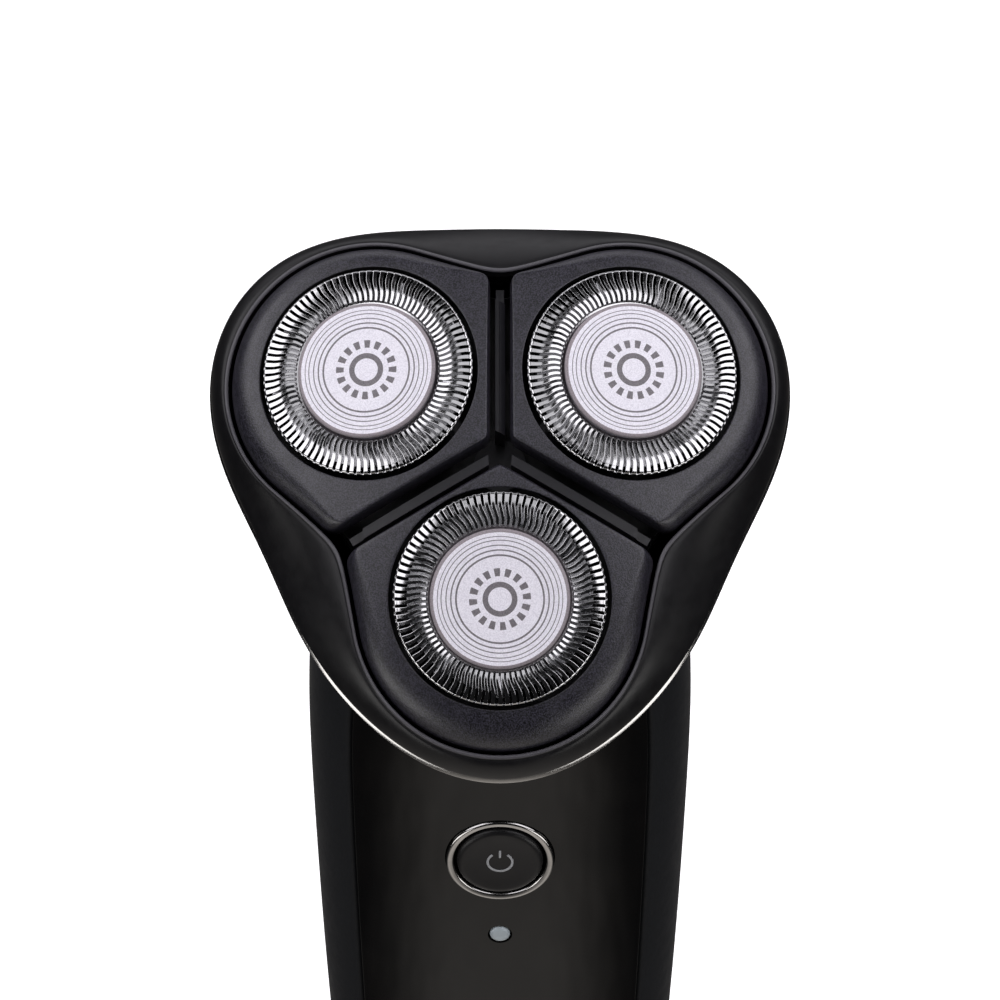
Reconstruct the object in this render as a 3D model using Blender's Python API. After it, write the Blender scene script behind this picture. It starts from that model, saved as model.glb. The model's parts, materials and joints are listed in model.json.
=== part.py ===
"""Electric shaver with three rotary cutting units on a tilted, tripod-shaped head.

The shaver stands upright on its flat bottom cap.  +Z is up, the head looks forward
(towards -Y) and up, and +X is to the right of somebody who faces the head.  The
origin is the centre of the flat underside of the bottom cap.

The head has its own frame: x to the right, u up along the face of the head and n out
of the face.  A cutting unit has a frame of its own inside the head's: x away from the
middle of the head, z out of the unit's guard.
"""

import math

import bmesh
import bpy
import numpy as np
from mathutils import Matrix, Vector

MM = 0.001                              # every driving dimension below is in millimetres

# ---- head ---------------------------------------------------------------------------
HEAD_TILT = 40.0                        # the face leans forward by this much from level, degrees
HEAD_CENTRE = (0.0, -22.0, 144.0)       # middle of the head, level with the guards' centres
UNIT_RADIUS = 18.3                      # middle of the head to the middle of each unit
UNIT_ANGLES = {"left": 150.0, "right": 30.0, "front": 270.0}
UNIT_TILT = 11.0                        # each unit leans outwards by this much, degrees
DOME_RADIUS = 96.0                      # the three faces lie tangent to this sphere

# corners of half of the head's widest outline, (x, u), from the back to the front
GIRTH = [(0, 28.8), (15.2, 28.3), (26.7, 24.8), (34.2, 14.8), (35.3, 8.8), (32.6, -2.9),
         (25.3, -18.7), (15.6, -32.0), (8.3, -37.3), (0, -38.9)]
GIRTH_HARMONICS = 9
GIRTH_N = -8.8                          # depth of the widest outline
OPENING_LOBE = 17.0                     # the head frame's opening round each of the two back units,
FRONT_LOBE = 17.3                       # round the front unit,
OPENING_VALLEY = 21.7                   # and how far it reaches between two units
OPENING_DROP = 0.7                      # the opening's centre lies this far to the front
FLANK_BULGE = 0.3                       # 0 for a straight flank, 1 for a quarter of an ellipse
VALLEY_EASE = math.radians(5.5)         # rounding of the outline between two units
POD_GAP = 0.4
CHANNEL_HALF = 1.2                      # half of the channel between two pods
RIDGE_WIDTH = 0.75
RIDGE_SINK = 1.0                        # the ridge lies this far below the dome
FRAME_BOTTOM = -9.5
TRIM_TOP, TRIM_BOTTOM = -9.8, -11.2
TRIM_DEPTH = 2.2
CHAMBER_TOP = -11.5
CHAMBER_WALL = 1.6
NECK_N = -22.9                          # depth where the chamber ends
CHAMBER_FLOOR = 1.6
NOTCH_HALF = 8.0                        # finger notch under the front of the trim
HINGE_U, HINGE_N = 27.6, -12.9          # pin on which the head swings open
BARREL_RADIUS = 1.15
RIB_HALF = 0.7
RIB_REACH = 19.0
RIB_FOOT = -10.7
RIB_SINK = 2.3                          # the rib's crest lies this far below the dome
RIB_DROP = 0.55                         # the rib's centre lies this far to the front
LATCH = ((-3.5, -34.5, -13.4), (3.5, -33.0, -12.0))     # snap tongue under the retaining plate

# ---- cutting unit --------------------------------------------------------------------
FACE_ARC = 14.25                        # the pod's face: an arc round the guard,
FACE_ARC_HALF = 69.8                    # which runs this far to each side, degrees,
FACE_EDGE = {"left": 14.3, "right": 14.3, "front": 13.75}   # straight edges this far from its centre,
FACE_EDGE_NORMAL = 150.0                # whose normals point this way, degrees
FACE_DROP = 2.4                         # the pod's rounded shoulder is this high
POD_HOLE = 13.3
POD_THICK = 1.2
POD_SKIRT = 4.6                         # the pod's wall ends this far below its face
POD_WALL = 0.7
GUARD_RADIUS = 12.8
GUARD_INNER = 8.7                       # inner edge of the slotted track
GUARD_TOP = 1.0
GUARD_BOTTOM = -4.4
GUARD_WALL = 0.45
DISC_RADIUS = 8.4
CUTTER_BLADES = 9
CUTTER_LEAN = 18.0
TILT_AXIS_R, TILT_AXIS_N = 5.0, -3.0    # where a pod's tilt axis crosses the head's section

# ---- plates in the head --------------------------------------------------------------
PLATE_LOBE, PLATE_VALLEY = 15.6, 19.6   # outline of the retaining plate
PLATE_TOP, PLATE_BOTTOM = -11.0, -12.0
PLATE_HOLE, PLATE_HOLE_CENTRE = 11.3, 16.3
BOX_LOBE, BOX_VALLEY = 13.5, 20.5       # outline of the gearbox's cover and plate
COVER_TOP, COVER_BOTTOM = -13.1, -14.0
BASE_TOP, BASE_BOTTOM = -16.9, -17.9
SCREW_CENTRE = 16.5

# ---- drive train ---------------------------------------------------------------------
MODULE = 1.1
GEAR_TEETH = 20
PINION_TEETH = 12
GEAR_CENTRE = MODULE * (GEAR_TEETH + PINION_TEETH) / 2
GEAR_TOP, GEAR_BOTTOM = -14.5, -16.5
MOTOR_TOP, MOTOR_BOTTOM = -18.4, -40.0
MOTOR_RADIUS = 9.0
SPINDLE_TIP = -3.9
SPINDLE_RADIUS = 1.3
SPRING_RADIUS, SPRING_WIRE, SPRING_TURNS = 2.05, 0.28, 3
SPRING_TOP, SPRING_BOTTOM = -9.9, -13.9

# ---- handle --------------------------------------------------------------------------
# sections of the handle from its foot to its neck: y, z, lean (degrees), half width, half depth
HANDLE = [(0.0, 0.0, 0.0, 21.6, 16.2), (0.0, 30.0, 0.0, 23.4, 17.9), (0.0, 60.0, 0.0, 24.5, 18.9),
          (0.0, 85.0, 0.0, 24.9, 19.3), (-0.7, 102.0, 12.0, 23.9, 19.2), (-3.4, 115.0, 27.0, 22.0, 19.0),
          (-6.0, 124.9, 40.0, 20.4, 18.8)]
SHELL_WALL = 2.0
CAP_HEIGHT = 7.0
SEAM = 0.35                             # gap between two neighbouring pieces
PANEL_EDGES = (222.0, 318.0)            # angles, about the handle's axis, of the front panel's edges
GRIP_EDGE = 24.0                        # how far the side grips reach behind the handle's widest line
BUTTON_Z = 72.0
BUTTON_RADIUS = 5.6
BEZEL_RADIUS = 7.0
LENS_Z = 58.0
SOCKET = (0.0, -5.0, 8.6, 5.6)          # charging socket: x, y, width, depth

COLOURS = {
    "satin_black": ((0.018, 0.018, 0.020), 0.38, 0.0),
    "grained_black": ((0.062, 0.060, 0.070), 0.55, 0.0),
    "gloss_black": ((0.012, 0.012, 0.013), 0.08, 0.0),
    "slate": ((0.020, 0.026, 0.034), 0.60, 0.0),
    "steel": ((0.75, 0.75, 0.77), 0.12, 1.0),
    "blade_steel": ((0.60, 0.60, 0.62), 0.25, 1.0),
    "cap_white": ((0.74, 0.72, 0.78), 0.45, 0.0),
    "chrome": ((0.80, 0.80, 0.80), 0.06, 1.0),
    "white_plastic": ((0.72, 0.72, 0.70), 0.45, 0.0),
    "motor_steel": ((0.55, 0.55, 0.56), 0.30, 1.0),
    "brass": ((0.62, 0.46, 0.20), 0.30, 1.0),
    "rubber": ((0.02, 0.02, 0.02), 0.80, 0.0),
    "board_green": ((0.02, 0.13, 0.06), 0.50, 0.0),
    "battery_wrap": ((0.04, 0.10, 0.26), 0.40, 0.0),
    "lens": ((0.55, 0.62, 0.66), 0.15, 0.0),
}


# ---- frames ----------------------------------------------------------------------------
def head_frame_matrix():
    """The head's frame in world coordinates; its numbers are millimetres."""
    turn = Matrix.Rotation(math.radians(HEAD_TILT), 4, "X")
    return Matrix.Translation(Vector(HEAD_CENTRE) * MM) @ turn @ Matrix.Scale(MM, 4)


def lobe_matrix(angle):
    """Head's frame turned so that +x runs from the middle towards one unit."""
    return head_frame_matrix() @ Matrix.Rotation(math.radians(angle), 4, "Z")


def unit_matrix(angle):
    """A cutting unit's own frame: +x outwards, +z out of its guard."""
    lean = Matrix.Rotation(math.radians(UNIT_TILT), 4, "Y")
    return lobe_matrix(angle) @ Matrix.Translation((UNIT_RADIUS, 0, 0)) @ lean


def world_matrix():
    return Matrix.Scale(MM, 4)


# ---- solids ----------------------------------------------------------------------------
def material(colour):
    """The Principled material of this name, made once."""
    found = bpy.data.materials.get(colour)
    if found:
        return found
    rgb, roughness, metallic = COLOURS[colour]
    made = bpy.data.materials.new(colour)
    made.use_nodes = True
    shader = made.node_tree.nodes["Principled BSDF"]
    shader.inputs["Base Color"].default_value = (*rgb, 1.0)
    shader.inputs["Roughness"].default_value = roughness
    shader.inputs["Metallic"].default_value = metallic
    made.diffuse_color = (*rgb, 1.0)
    return made


def finish(name, mesh_data, matrix, colour, origin=None):
    """Turn a bmesh in local millimetres into a named object whose origin is a world point."""
    bmesh.ops.recalc_face_normals(mesh_data, faces=mesh_data.faces)
    mesh = bpy.data.meshes.new(name)
    mesh_data.to_mesh(mesh)
    mesh_data.free()
    place = Vector(origin) if origin else matrix.translation.copy()
    mesh.transform(Matrix.Translation(-place) @ matrix)
    mesh.shade_smooth()
    mesh.set_sharp_from_angle(angle=math.radians(32))
    made = bpy.data.objects.new(name, mesh)
    made.location = place
    made.data.materials.append(material(colour))
    bpy.context.collection.objects.link(made)
    return made


def loft(name, rings, matrix, colour, closed=False, origin=None):
    """Join rings of equally many points: closed makes a hoop, else both ends are capped."""
    mesh_data = bmesh.new()
    rows = [[mesh_data.verts.new(point) for point in ring] for ring in rings]
    pairs = list(zip(rows, rows[1:] + rows[:1])) if closed else list(zip(rows, rows[1:]))
    for low, high in pairs:
        for i in range(len(low)):
            j = (i + 1) % len(low)
            mesh_data.faces.new((low[i], low[j], high[j], high[i]))
    if not closed:
        mesh_data.faces.new(list(reversed(rows[0])))
        mesh_data.faces.new(rows[-1])
    return finish(name, mesh_data, matrix, colour, origin)


def circle(radius, z, count, centre=(0.0, 0.0), start=0.0):
    turn = 2 * math.pi / count
    return [(centre[0] + radius * math.cos(start + i * turn),
             centre[1] + radius * math.sin(start + i * turn), z) for i in range(count)]


def turned(name, profile, matrix, colour, count=24, closed=False, centre=(0.0, 0.0), origin=None):
    """A turned piece from (radius, z) points; closed for a piece with a hole through it."""
    rings = [circle(radius, z, count, centre) for radius, z in profile]
    return loft(name, rings, matrix, colour, closed, origin)


def block(name, low, high, matrix, colour, bevel=0.0, origin=None):
    """A rectangular piece between two corners, with its edges eased by a bevel."""
    mesh_data = bmesh.new()
    bmesh.ops.create_cube(mesh_data, size=1.0)
    size = [b - a for a, b in zip(low, high)]
    middle = [(a + b) / 2 for a, b in zip(low, high)]
    bmesh.ops.scale(mesh_data, vec=size, verts=mesh_data.verts)
    bmesh.ops.translate(mesh_data, vec=middle, verts=mesh_data.verts)
    if bevel:
        bmesh.ops.bevel(mesh_data, geom=mesh_data.edges[:], offset=bevel, segments=1, affect="EDGES")
    return finish(name, mesh_data, matrix, colour, origin)


def prism(name, outline, low, high, matrix, colour, origin=None):
    """Extrude an outline of (x, y) points from one height to another."""
    rings = [[(x, y, z) for x, y in outline] for z in (low, high)]
    return loft(name, rings, matrix, colour, origin=origin)


def cut(target, *cutters):
    """Cut each guide out of the target and leave the guide unrendered."""
    for cutter in cutters:
        cutter.hide_render = True
        cutter.display_type = "WIRE"
        tool = target.modifiers.new("cut_" + cutter.name, "BOOLEAN")
        tool.operation = "DIFFERENCE"
        tool.solver = "EXACT"
        tool.object = cutter


def join(target, *pieces):
    """Weld guides onto the target, which stays one body."""
    for piece in pieces:
        piece.hide_render = True
        piece.display_type = "WIRE"
        tool = target.modifiers.new("join_" + piece.name, "BOOLEAN")
        tool.operation = "UNION"
        tool.solver = "EXACT"
        tool.object = piece


# ---- the head's outlines ----------------------------------------------------------------
def fit_girth():
    """Cosine series r(a) of the widest outline, with a measured from the back, +u."""
    angles = np.array([math.atan2(x, u) for x, u in GIRTH])
    radii = np.array([math.hypot(x, u) for x, u in GIRTH])
    terms = np.array([[math.cos(k * a) for k in range(GIRTH_HARMONICS)] for a in angles])
    return np.linalg.lstsq(terms, radii, rcond=None)[0]


GIRTH_SERIES = fit_girth()


def girth(angle):
    """Radius of the widest outline at an angle from +x, in radians."""
    from_back = angle - math.pi / 2
    return float(sum(c * math.cos(k * from_back) for k, c in enumerate(GIRTH_SERIES)))


def smooth_min(a, b, width):
    """The smaller of two lengths, blended over the given width."""
    share = min(1.0, max(0.0, 0.5 + 0.5 * (b - a) / width))
    return b + (a - b) * share - width * share * (1 - share)


def clover(angle, lobe, valley):
    """Radius of a three-lobed outline: arcs round the units, and lines that touch the arcs
    and meet between two units, where the corner is rounded."""
    away = min(abs((angle - math.radians(a) + math.pi) % (2 * math.pi) - math.pi)
               for a in UNIT_ANGLES.values())
    between = math.radians(60.0)
    away = between - math.hypot(between - away, VALLEY_EASE)
    along = UNIT_RADIUS - valley * math.cos(between)
    aside = valley * math.sin(between)
    normal = math.acos(-lobe / math.hypot(along, aside)) - math.atan2(aside, along)
    touch = math.atan2(lobe * math.sin(normal), UNIT_RADIUS + lobe * math.cos(normal))
    if away > touch:
        return (UNIT_RADIUS * math.cos(normal) + lobe) / math.cos(away - normal)
    return (UNIT_RADIUS * math.cos(away)
            + math.sqrt(lobe ** 2 - (UNIT_RADIUS * math.sin(away)) ** 2))


def lobe_radius(angle):
    """Radius of the opening's lobe nearest to an angle; the front one is the largest."""
    from_front = abs((math.degrees(angle) - UNIT_ANGLES["front"] + 180.0) % 360.0 - 180.0)
    share = min(1.0, max(0.0, (75.0 - from_front) / 30.0))
    return OPENING_LOBE + (FRONT_LOBE - OPENING_LOBE) * share * share * (3 - 2 * share)


def opening(angle, inset=0.0):
    return clover(angle, lobe_radius(angle) - inset, OPENING_VALLEY - inset)


def dome(radius):
    """Height of the dome through the guards' centres, at a distance from the head's axis."""
    return math.sqrt(DOME_RADIUS ** 2 - radius ** 2) - math.sqrt(DOME_RADIUS ** 2 - UNIT_RADIUS ** 2)


def head_ring(radius_at, height_at, count, drop=0.0):
    """One ring about the head's axis, or in front of it by drop, from a radius and a height
    for each angle."""
    ring = []
    for i in range(count):
        angle = 2 * math.pi * i / count
        radius = radius_at(angle)
        ring.append((radius * math.cos(angle), radius * math.sin(angle) - drop, height_at(angle)))
    return ring


def on_hinge(matrix):
    """A point of the head hinge's axis, the origin of the pieces that swing on it."""
    return matrix @ Vector((0, HINGE_U, HINGE_N))


# ---- head shells -------------------------------------------------------------------------
def ridge_height(angle):
    return dome(opening(angle)) - RIDGE_SINK


def flank_ring(share, count):
    """A ring on the frame's flank, from the ridge (0) to the widest outline (1)."""
    bend = share * math.pi / 2
    across = (1 - FLANK_BULGE) * share + FLANK_BULGE * math.sin(bend)
    down = (1 - FLANK_BULGE) * share + FLANK_BULGE * (1 - math.cos(bend))

    def radius(angle):
        start = opening(angle) + RIDGE_WIDTH
        return start + (girth(angle) - start) * across

    def height(angle):
        top = ridge_height(angle) - 0.1
        return top + (GIRTH_N - top) * down

    return head_ring(radius, height, count, OPENING_DROP * (1 - across))


def make_head_frame(matrix, count=72):
    rings = [
        head_ring(opening, lambda a: FRAME_BOTTOM, count, OPENING_DROP),
        head_ring(opening, lambda a: ridge_height(a) - 0.35, count, OPENING_DROP),
        head_ring(lambda a: opening(a) + 0.25, ridge_height, count, OPENING_DROP),
    ]
    rings += [flank_ring(share, count) for share in (0.0, 0.3, 0.65, 1.0)]
    rings.append(head_ring(lambda a: girth(a) - 0.2, lambda a: FRAME_BOTTOM, count))
    return loft("head_frame", rings, matrix, "satin_black", closed=True, origin=on_hinge(matrix))


def make_trim(matrix, count=72):
    middle = (TRIM_TOP + TRIM_BOTTOM) / 2
    rings = [
        head_ring(lambda a: girth(a) - TRIM_DEPTH, lambda a: middle, count),
        head_ring(lambda a: girth(a) - 0.15, lambda a: TRIM_TOP, count),
        head_ring(lambda a: girth(a) + 0.1, lambda a: middle, count),
        head_ring(lambda a: girth(a) - 0.25, lambda a: TRIM_BOTTOM, count),
    ]
    return loft("chrome_trim", rings, matrix, "chrome", closed=True, origin=on_hinge(matrix))


def neck(angle):
    """Radius of the neck's oval, which is the handle's last section."""
    half_width, half_depth = HANDLE[-1][3], HANDLE[-1][4]
    return 1 / math.hypot(math.cos(angle) / half_width, math.sin(angle) / half_depth)


def chamber_radius(angle, share, inset=0.0):
    """Outline of the hair chamber, from its rim (0) to the neck (1)."""
    blend = share ** 1.8
    return (girth(angle) - 0.5) * (1 - blend) + neck(angle) * blend - inset


def make_chamber(matrix, count=60):
    depth = NECK_N - CHAMBER_TOP
    rings = []
    for share in (0.0, 0.25, 0.5, 0.75, 1.0):
        rings.append(head_ring(lambda a, s=share: chamber_radius(a, s),
                               lambda a, s=share: CHAMBER_TOP + depth * s, count))
    hole = MOTOR_RADIUS + 0.5
    rings.append(head_ring(lambda a: hole, lambda a: NECK_N, count))
    rings.append(head_ring(lambda a: hole, lambda a: NECK_N + CHAMBER_FLOOR, count))
    for share in (0.86, 0.5, 0.0):
        rings.append(head_ring(lambda a, s=share: chamber_radius(a, s, CHAMBER_WALL + 0.6 * s),
                               lambda a, s=share: CHAMBER_TOP + depth * s, count))
    chamber = loft("hair_chamber", rings, matrix, "satin_black", closed=True)
    front = -girth(math.radians(270.0))
    notch = block("guide_notch", (-NOTCH_HALF, front - 3, CHAMBER_TOP - 0.9),
                  (NOTCH_HALF, front + 1.4, CHAMBER_TOP + 1), matrix, "satin_black")
    recess = block("guide_recess", (-6.4, HINGE_U - 1.9, HINGE_N - 1.9), (6.4, HINGE_U + 4, 0), matrix,
                   "satin_black")
    cut(chamber, notch, recess)
    return chamber


def make_hinge_leaf(name, middle, half, tab, matrix, colour):
    """A hinge leaf: a barrel round the pin with a tab that reaches up (+) or down (-)."""
    steps = 16
    outer, inner = [], []
    for i in range(steps):
        angle = 2 * math.pi * i / steps
        y, z = math.cos(angle) * BARREL_RADIUS, math.sin(angle) * BARREL_RADIUS
        if math.sin(angle) * tab > 0.1:
            z = tab
        outer.append((HINGE_U + y, HINGE_N + z))
        inner.append((HINGE_U + math.cos(angle) * 0.8, HINGE_N + math.sin(angle) * 0.8))
    low, high = middle - half, middle + half
    rings = [[(low, y, z) for y, z in outer], [(high, y, z) for y, z in outer],
             [(high, y, z) for y, z in inner], [(low, y, z) for y, z in inner]]
    origin = matrix @ Vector((middle, HINGE_U, HINGE_N))
    return loft(name, rings, matrix, colour, closed=True, origin=origin)


def make_head_hinge(matrix):
    """The hinge at the back of the head, and the latch at its front."""
    make_hinge_leaf("head_hinge_knuckle", 0.0, 2.2, TRIM_BOTTOM - 0.3 - HINGE_N, matrix, "satin_black")
    for side, middle in (("left", -4.3), ("right", 4.3)):
        make_hinge_leaf("hinge_ear_" + side, middle, 1.7, -1.6, matrix, "satin_black")
    turn = matrix @ Matrix.Translation((0, HINGE_U, HINGE_N)) @ Matrix.Rotation(math.radians(90.0), 4, "Y")
    turned("hinge_pin", [(0.5, -6.1), (0.5, 6.1)], turn, "motor_steel", 10)
    block("head_latch", *LATCH, matrix, "satin_black", origin=on_hinge(matrix))


def plate_outline(lobe, valley, n):
    """A three-lobed outline for a plate, kept clear of the chamber's wall at depth n."""
    share = max(0.0, (n - CHAMBER_TOP) / (NECK_N - CHAMBER_TOP))
    outline = []
    for angle in np.radians(np.arange(0, 360, 6)):
        room = chamber_radius(angle, share, CHAMBER_WALL + 0.6 * share) - 0.7
        radius = min(clover(angle, lobe, valley), room)
        outline.append((radius * math.cos(angle), radius * math.sin(angle)))
    return outline


def make_retaining_plate(matrix):
    """The plate under the guards: it closes the head frame and has a hole for each cutter."""
    edge = plate_outline(PLATE_LOBE, PLATE_VALLEY, PLATE_BOTTOM)
    plate = prism("retaining_plate", edge, PLATE_BOTTOM, PLATE_TOP, matrix, "satin_black", on_hinge(matrix))
    for side, angle in UNIT_ANGLES.items():
        rim = [(x, y) for x, y, _ in circle(PLATE_HOLE, 0, 24, (PLATE_HOLE_CENTRE, 0))]
        hole = prism("guide_plate_" + side, rim, PLATE_BOTTOM - 1, PLATE_TOP + 1, lobe_matrix(angle),
                     "satin_black")
        cut(plate, hole)
    return plate


def make_rib_frame(matrix):
    """The low three-armed rib that stands in the channels between the pods."""
    outline = []
    for angle in (30.0, 150.0, 270.0):
        channel = math.radians(angle + 60.0)
        inner = channel - math.radians(60.0)
        outline.append((1.155 * RIB_HALF * math.cos(inner), 1.155 * RIB_HALF * math.sin(inner)))
        for side in (-1, 1):
            across = Vector((-math.sin(channel), math.cos(channel))) * RIB_HALF * side
            point = Vector((math.cos(channel), math.sin(channel))) * RIB_REACH + across
            outline.append((point.x, point.y))
    top = [(x, y - RIB_DROP, dome(math.hypot(x, y)) - RIB_SINK) for x, y in outline]
    foot = [(x, y - RIB_DROP, RIB_FOOT) for x, y in outline]
    return loft("rib_frame", [foot, top], matrix, "satin_black", origin=on_hinge(matrix))


# ---- cutting unit ------------------------------------------------------------------------
def eased_corner(before, corner, after, reach, steps=3):
    """Points of a rounded corner that starts and ends a short way from the sharp one."""
    corner = Vector(corner)
    first = corner + (Vector(before) - corner).normalized() * reach
    last = corner + (Vector(after) - corner).normalized() * reach
    points = []
    for i in range(steps + 1):
        t = i / steps
        points.append(first * (1 - t) ** 2 + corner * 2 * t * (1 - t) + last * t ** 2)
    return [(p.x, p.y) for p in points]


def pod_skirt(side):
    """Outline of a pod in the lobe's frame, anticlockwise from its inner corner."""
    half = CHANNEL_HALF
    if side == "front":
        half += OPENING_DROP * math.cos(math.radians(30.0))
    ahead = math.radians(UNIT_ANGLES[side])
    turn = Matrix.Rotation(-ahead, 2)

    def edge(angle):
        radius = opening(ahead + angle, POD_GAP)
        place = Vector((radius * math.cos(ahead + angle), radius * math.sin(ahead + angle) - OPENING_DROP))
        return turn @ place

    def channel_end(sign):
        """Angle at which the outline meets the channel on this side."""
        low, high = 0.0, math.radians(68.0)
        for _ in range(40):
            middle = (low + high) / 2
            x, y = edge(sign * middle)
            if x * math.sin(math.radians(60.0)) - sign * y * math.cos(math.radians(60.0)) > half:
                low = middle
            else:
                high = middle
        return sign * low

    first, last = channel_end(-1), channel_end(1)
    arc = [edge(first + (last - first) * i / 24) for i in range(25)]
    inner = Vector((half / math.sin(math.radians(60.0)), 0.0))
    low, high = arc[0], arc[-1]
    outline = eased_corner(high, inner, low, 1.0)
    outline += [tuple(inner.lerp(low, share)) for share in (0.35, 0.65)]
    outline += eased_corner(inner, low, arc[1], 1.7)
    outline += [tuple(point) for point in arc[2:-2]]
    outline += eased_corner(arc[-2], high, inner, 1.7)
    outline += [tuple(high.lerp(inner, share)) for share in (0.35, 0.65)]
    return [(x - UNIT_RADIUS, y) for x, y in outline]


def face_radius(side, angle):
    """Distance from the guard's centre to the edge of the pod's face."""
    away = abs(math.degrees(angle))
    if away <= FACE_ARC_HALF:
        return FACE_ARC
    shoulder = FACE_ARC / max(0.2, math.cos(math.radians(away - FACE_ARC_HALF)))
    edge = FACE_EDGE[side] / max(0.2, math.cos(math.radians(away - FACE_EDGE_NORMAL)))
    return smooth_min(shoulder, edge, 1.2)


def crown(radius):
    """How far the pod's face has curved down from its plane, which it meets at the hole."""
    return (radius ** 2 - POD_HOLE ** 2) / (2 * DOME_RADIUS)


def on_face(radius, angle, depth=0.0):
    """A point of the leaning, crowned face, in the lobe's frame shifted to the unit."""
    lean = math.radians(UNIT_TILT)
    depth += crown(radius)
    x = radius * math.cos(angle)
    return (x * math.cos(lean) - depth * math.sin(lean), radius * math.sin(angle),
            -x * math.sin(lean) - depth * math.cos(lean))


def make_pod(side, angle):
    skirt = pod_skirt(side)
    slope = math.tan(math.radians(UNIT_TILT))
    angles = [math.atan2(y, x) for x, y in skirt]

    def wall(inset, drop):
        ring = []
        for x, y in skirt:
            away = math.hypot(x, y)
            shrink = 1 - inset / away
            ring.append((x * shrink, y * shrink, -x * slope - crown(away) - drop))
        return ring

    rings = [wall(0.0, POD_SKIRT), wall(0.0, FACE_DROP)]
    for step in (1, 2, 3):
        turn = step / 3 * math.pi / 2
        ring = []
        for (x, y), phi in zip(skirt, angles):
            inner = Vector(on_face(face_radius(side, phi), phi))
            outer = Vector((x, y, -x * slope - crown(math.hypot(x, y))))
            point = outer.lerp(inner, 1 - math.cos(turn))
            point.z -= FACE_DROP * (1 - math.sin(turn))
            ring.append(tuple(point))
        rings.append(ring)
    rings.append([on_face(POD_HOLE, phi) for phi in angles])
    rings.append([on_face(POD_HOLE, phi, POD_THICK) for phi in angles])
    rings.append(wall(POD_WALL, FACE_DROP + 0.4))
    rings.append(wall(POD_WALL, POD_SKIRT))
    place = lobe_matrix(angle) @ Matrix.Translation((UNIT_RADIUS, 0, 0))
    axis = lobe_matrix(angle) @ Vector((TILT_AXIS_R, 0, TILT_AXIS_N))
    return loft("pod_" + side, rings, place, "grained_black", closed=True, origin=axis)


def make_guard(side, angle):
    """The slotted steel cap, here with its true form and a plain track."""
    profile = [(GUARD_RADIUS - GUARD_WALL, GUARD_BOTTOM), (GUARD_RADIUS, GUARD_BOTTOM),
               (GUARD_RADIUS, GUARD_TOP - 0.5), (GUARD_RADIUS - 0.45, GUARD_TOP),
               (GUARD_INNER, GUARD_TOP), (GUARD_INNER - 0.4, GUARD_TOP - 0.5),
               (0.6, GUARD_TOP - 0.5), (0.6, GUARD_TOP - 0.9),
               (GUARD_INNER - 0.1, GUARD_TOP - 0.9), (GUARD_INNER + 0.3, GUARD_TOP - 0.4),
               (GUARD_RADIUS - GUARD_WALL, GUARD_TOP - 0.55)]
    return turned("guard_" + side, profile, unit_matrix(angle), "steel", 32, closed=True)


def make_disc(side, angle):
    """The printed disc that covers the middle of the guard."""
    low = GUARD_TOP - 0.2
    profile = [(DISC_RADIUS - 0.3, low), (DISC_RADIUS, low + 0.1), (DISC_RADIUS, low + 0.3),
               (DISC_RADIUS - 0.25, low + 0.5)]
    return turned("cap_disc_" + side, profile, unit_matrix(angle), "cap_white", 32)


def make_cutter(side, angle):
    """The rotor: a hub with a socket, a ring and blades that stand up under the slots."""
    matrix = unit_matrix(angle)
    profile = [(2.2, -1.6), (2.2, -5.0), (3.2, -5.0), (3.2, -3.4), (11.2, -3.4), (11.2, -2.2), (3.2, -2.2),
               (3.2, -0.6)]
    rotor = turned("cutter_" + side, profile, matrix, "blade_steel", 18)
    blades = []
    for i in range(CUTTER_BLADES):
        turn = Matrix.Rotation(2 * math.pi * i / CUTTER_BLADES, 4, "Z")
        lean = Matrix.Rotation(math.radians(CUTTER_LEAN), 4, "X")
        blade = block("guide_blade_%s_%d" % (side, i), (9.2, -0.45, -2.8), (11.9, 0.45, 0.15),
                      matrix @ turn @ lean, "blade_steel")
        blades.append(blade)
    join(rotor, *blades)
    return rotor


def make_unit(side, angle):
    make_pod(side, angle)
    make_guard(side, angle)
    make_disc(side, angle)
    make_cutter(side, angle)


# ---- drive train -------------------------------------------------------------------------
def gear_outline(teeth, module, start):
    """Trapezoid teeth on the pitch circle; start is the angle of the first tooth's middle."""
    pitch = module * teeth / 2
    root, tip = pitch - 1.15 * module, pitch + 0.85 * module
    step = 2 * math.pi / teeth
    points = []
    for i in range(teeth):
        middle = start + i * step
        for share, radius in ((-0.32, root), (-0.13, tip), (0.13, tip), (0.32, root)):
            angle = middle + share * step
            points.append((radius * math.cos(angle), radius * math.sin(angle)))
    return points


def make_spring(name, matrix, steps=9, sides=4):
    """A coil spring swept as one tube with closed ends."""
    rings = []
    total = SPRING_TURNS * steps
    for i in range(total + 1):
        angle = 2 * math.pi * i / steps
        z = SPRING_BOTTOM + (SPRING_TOP - SPRING_BOTTOM) * i / total
        ring = []
        for k in range(sides):
            around = 2 * math.pi * k / sides
            r = SPRING_RADIUS + SPRING_WIRE * math.cos(around)
            ring.append((r * math.cos(angle), r * math.sin(angle), z + SPRING_WIRE * math.sin(around)))
        rings.append(ring)
    return loft(name, rings, matrix, "motor_steel")


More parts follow.
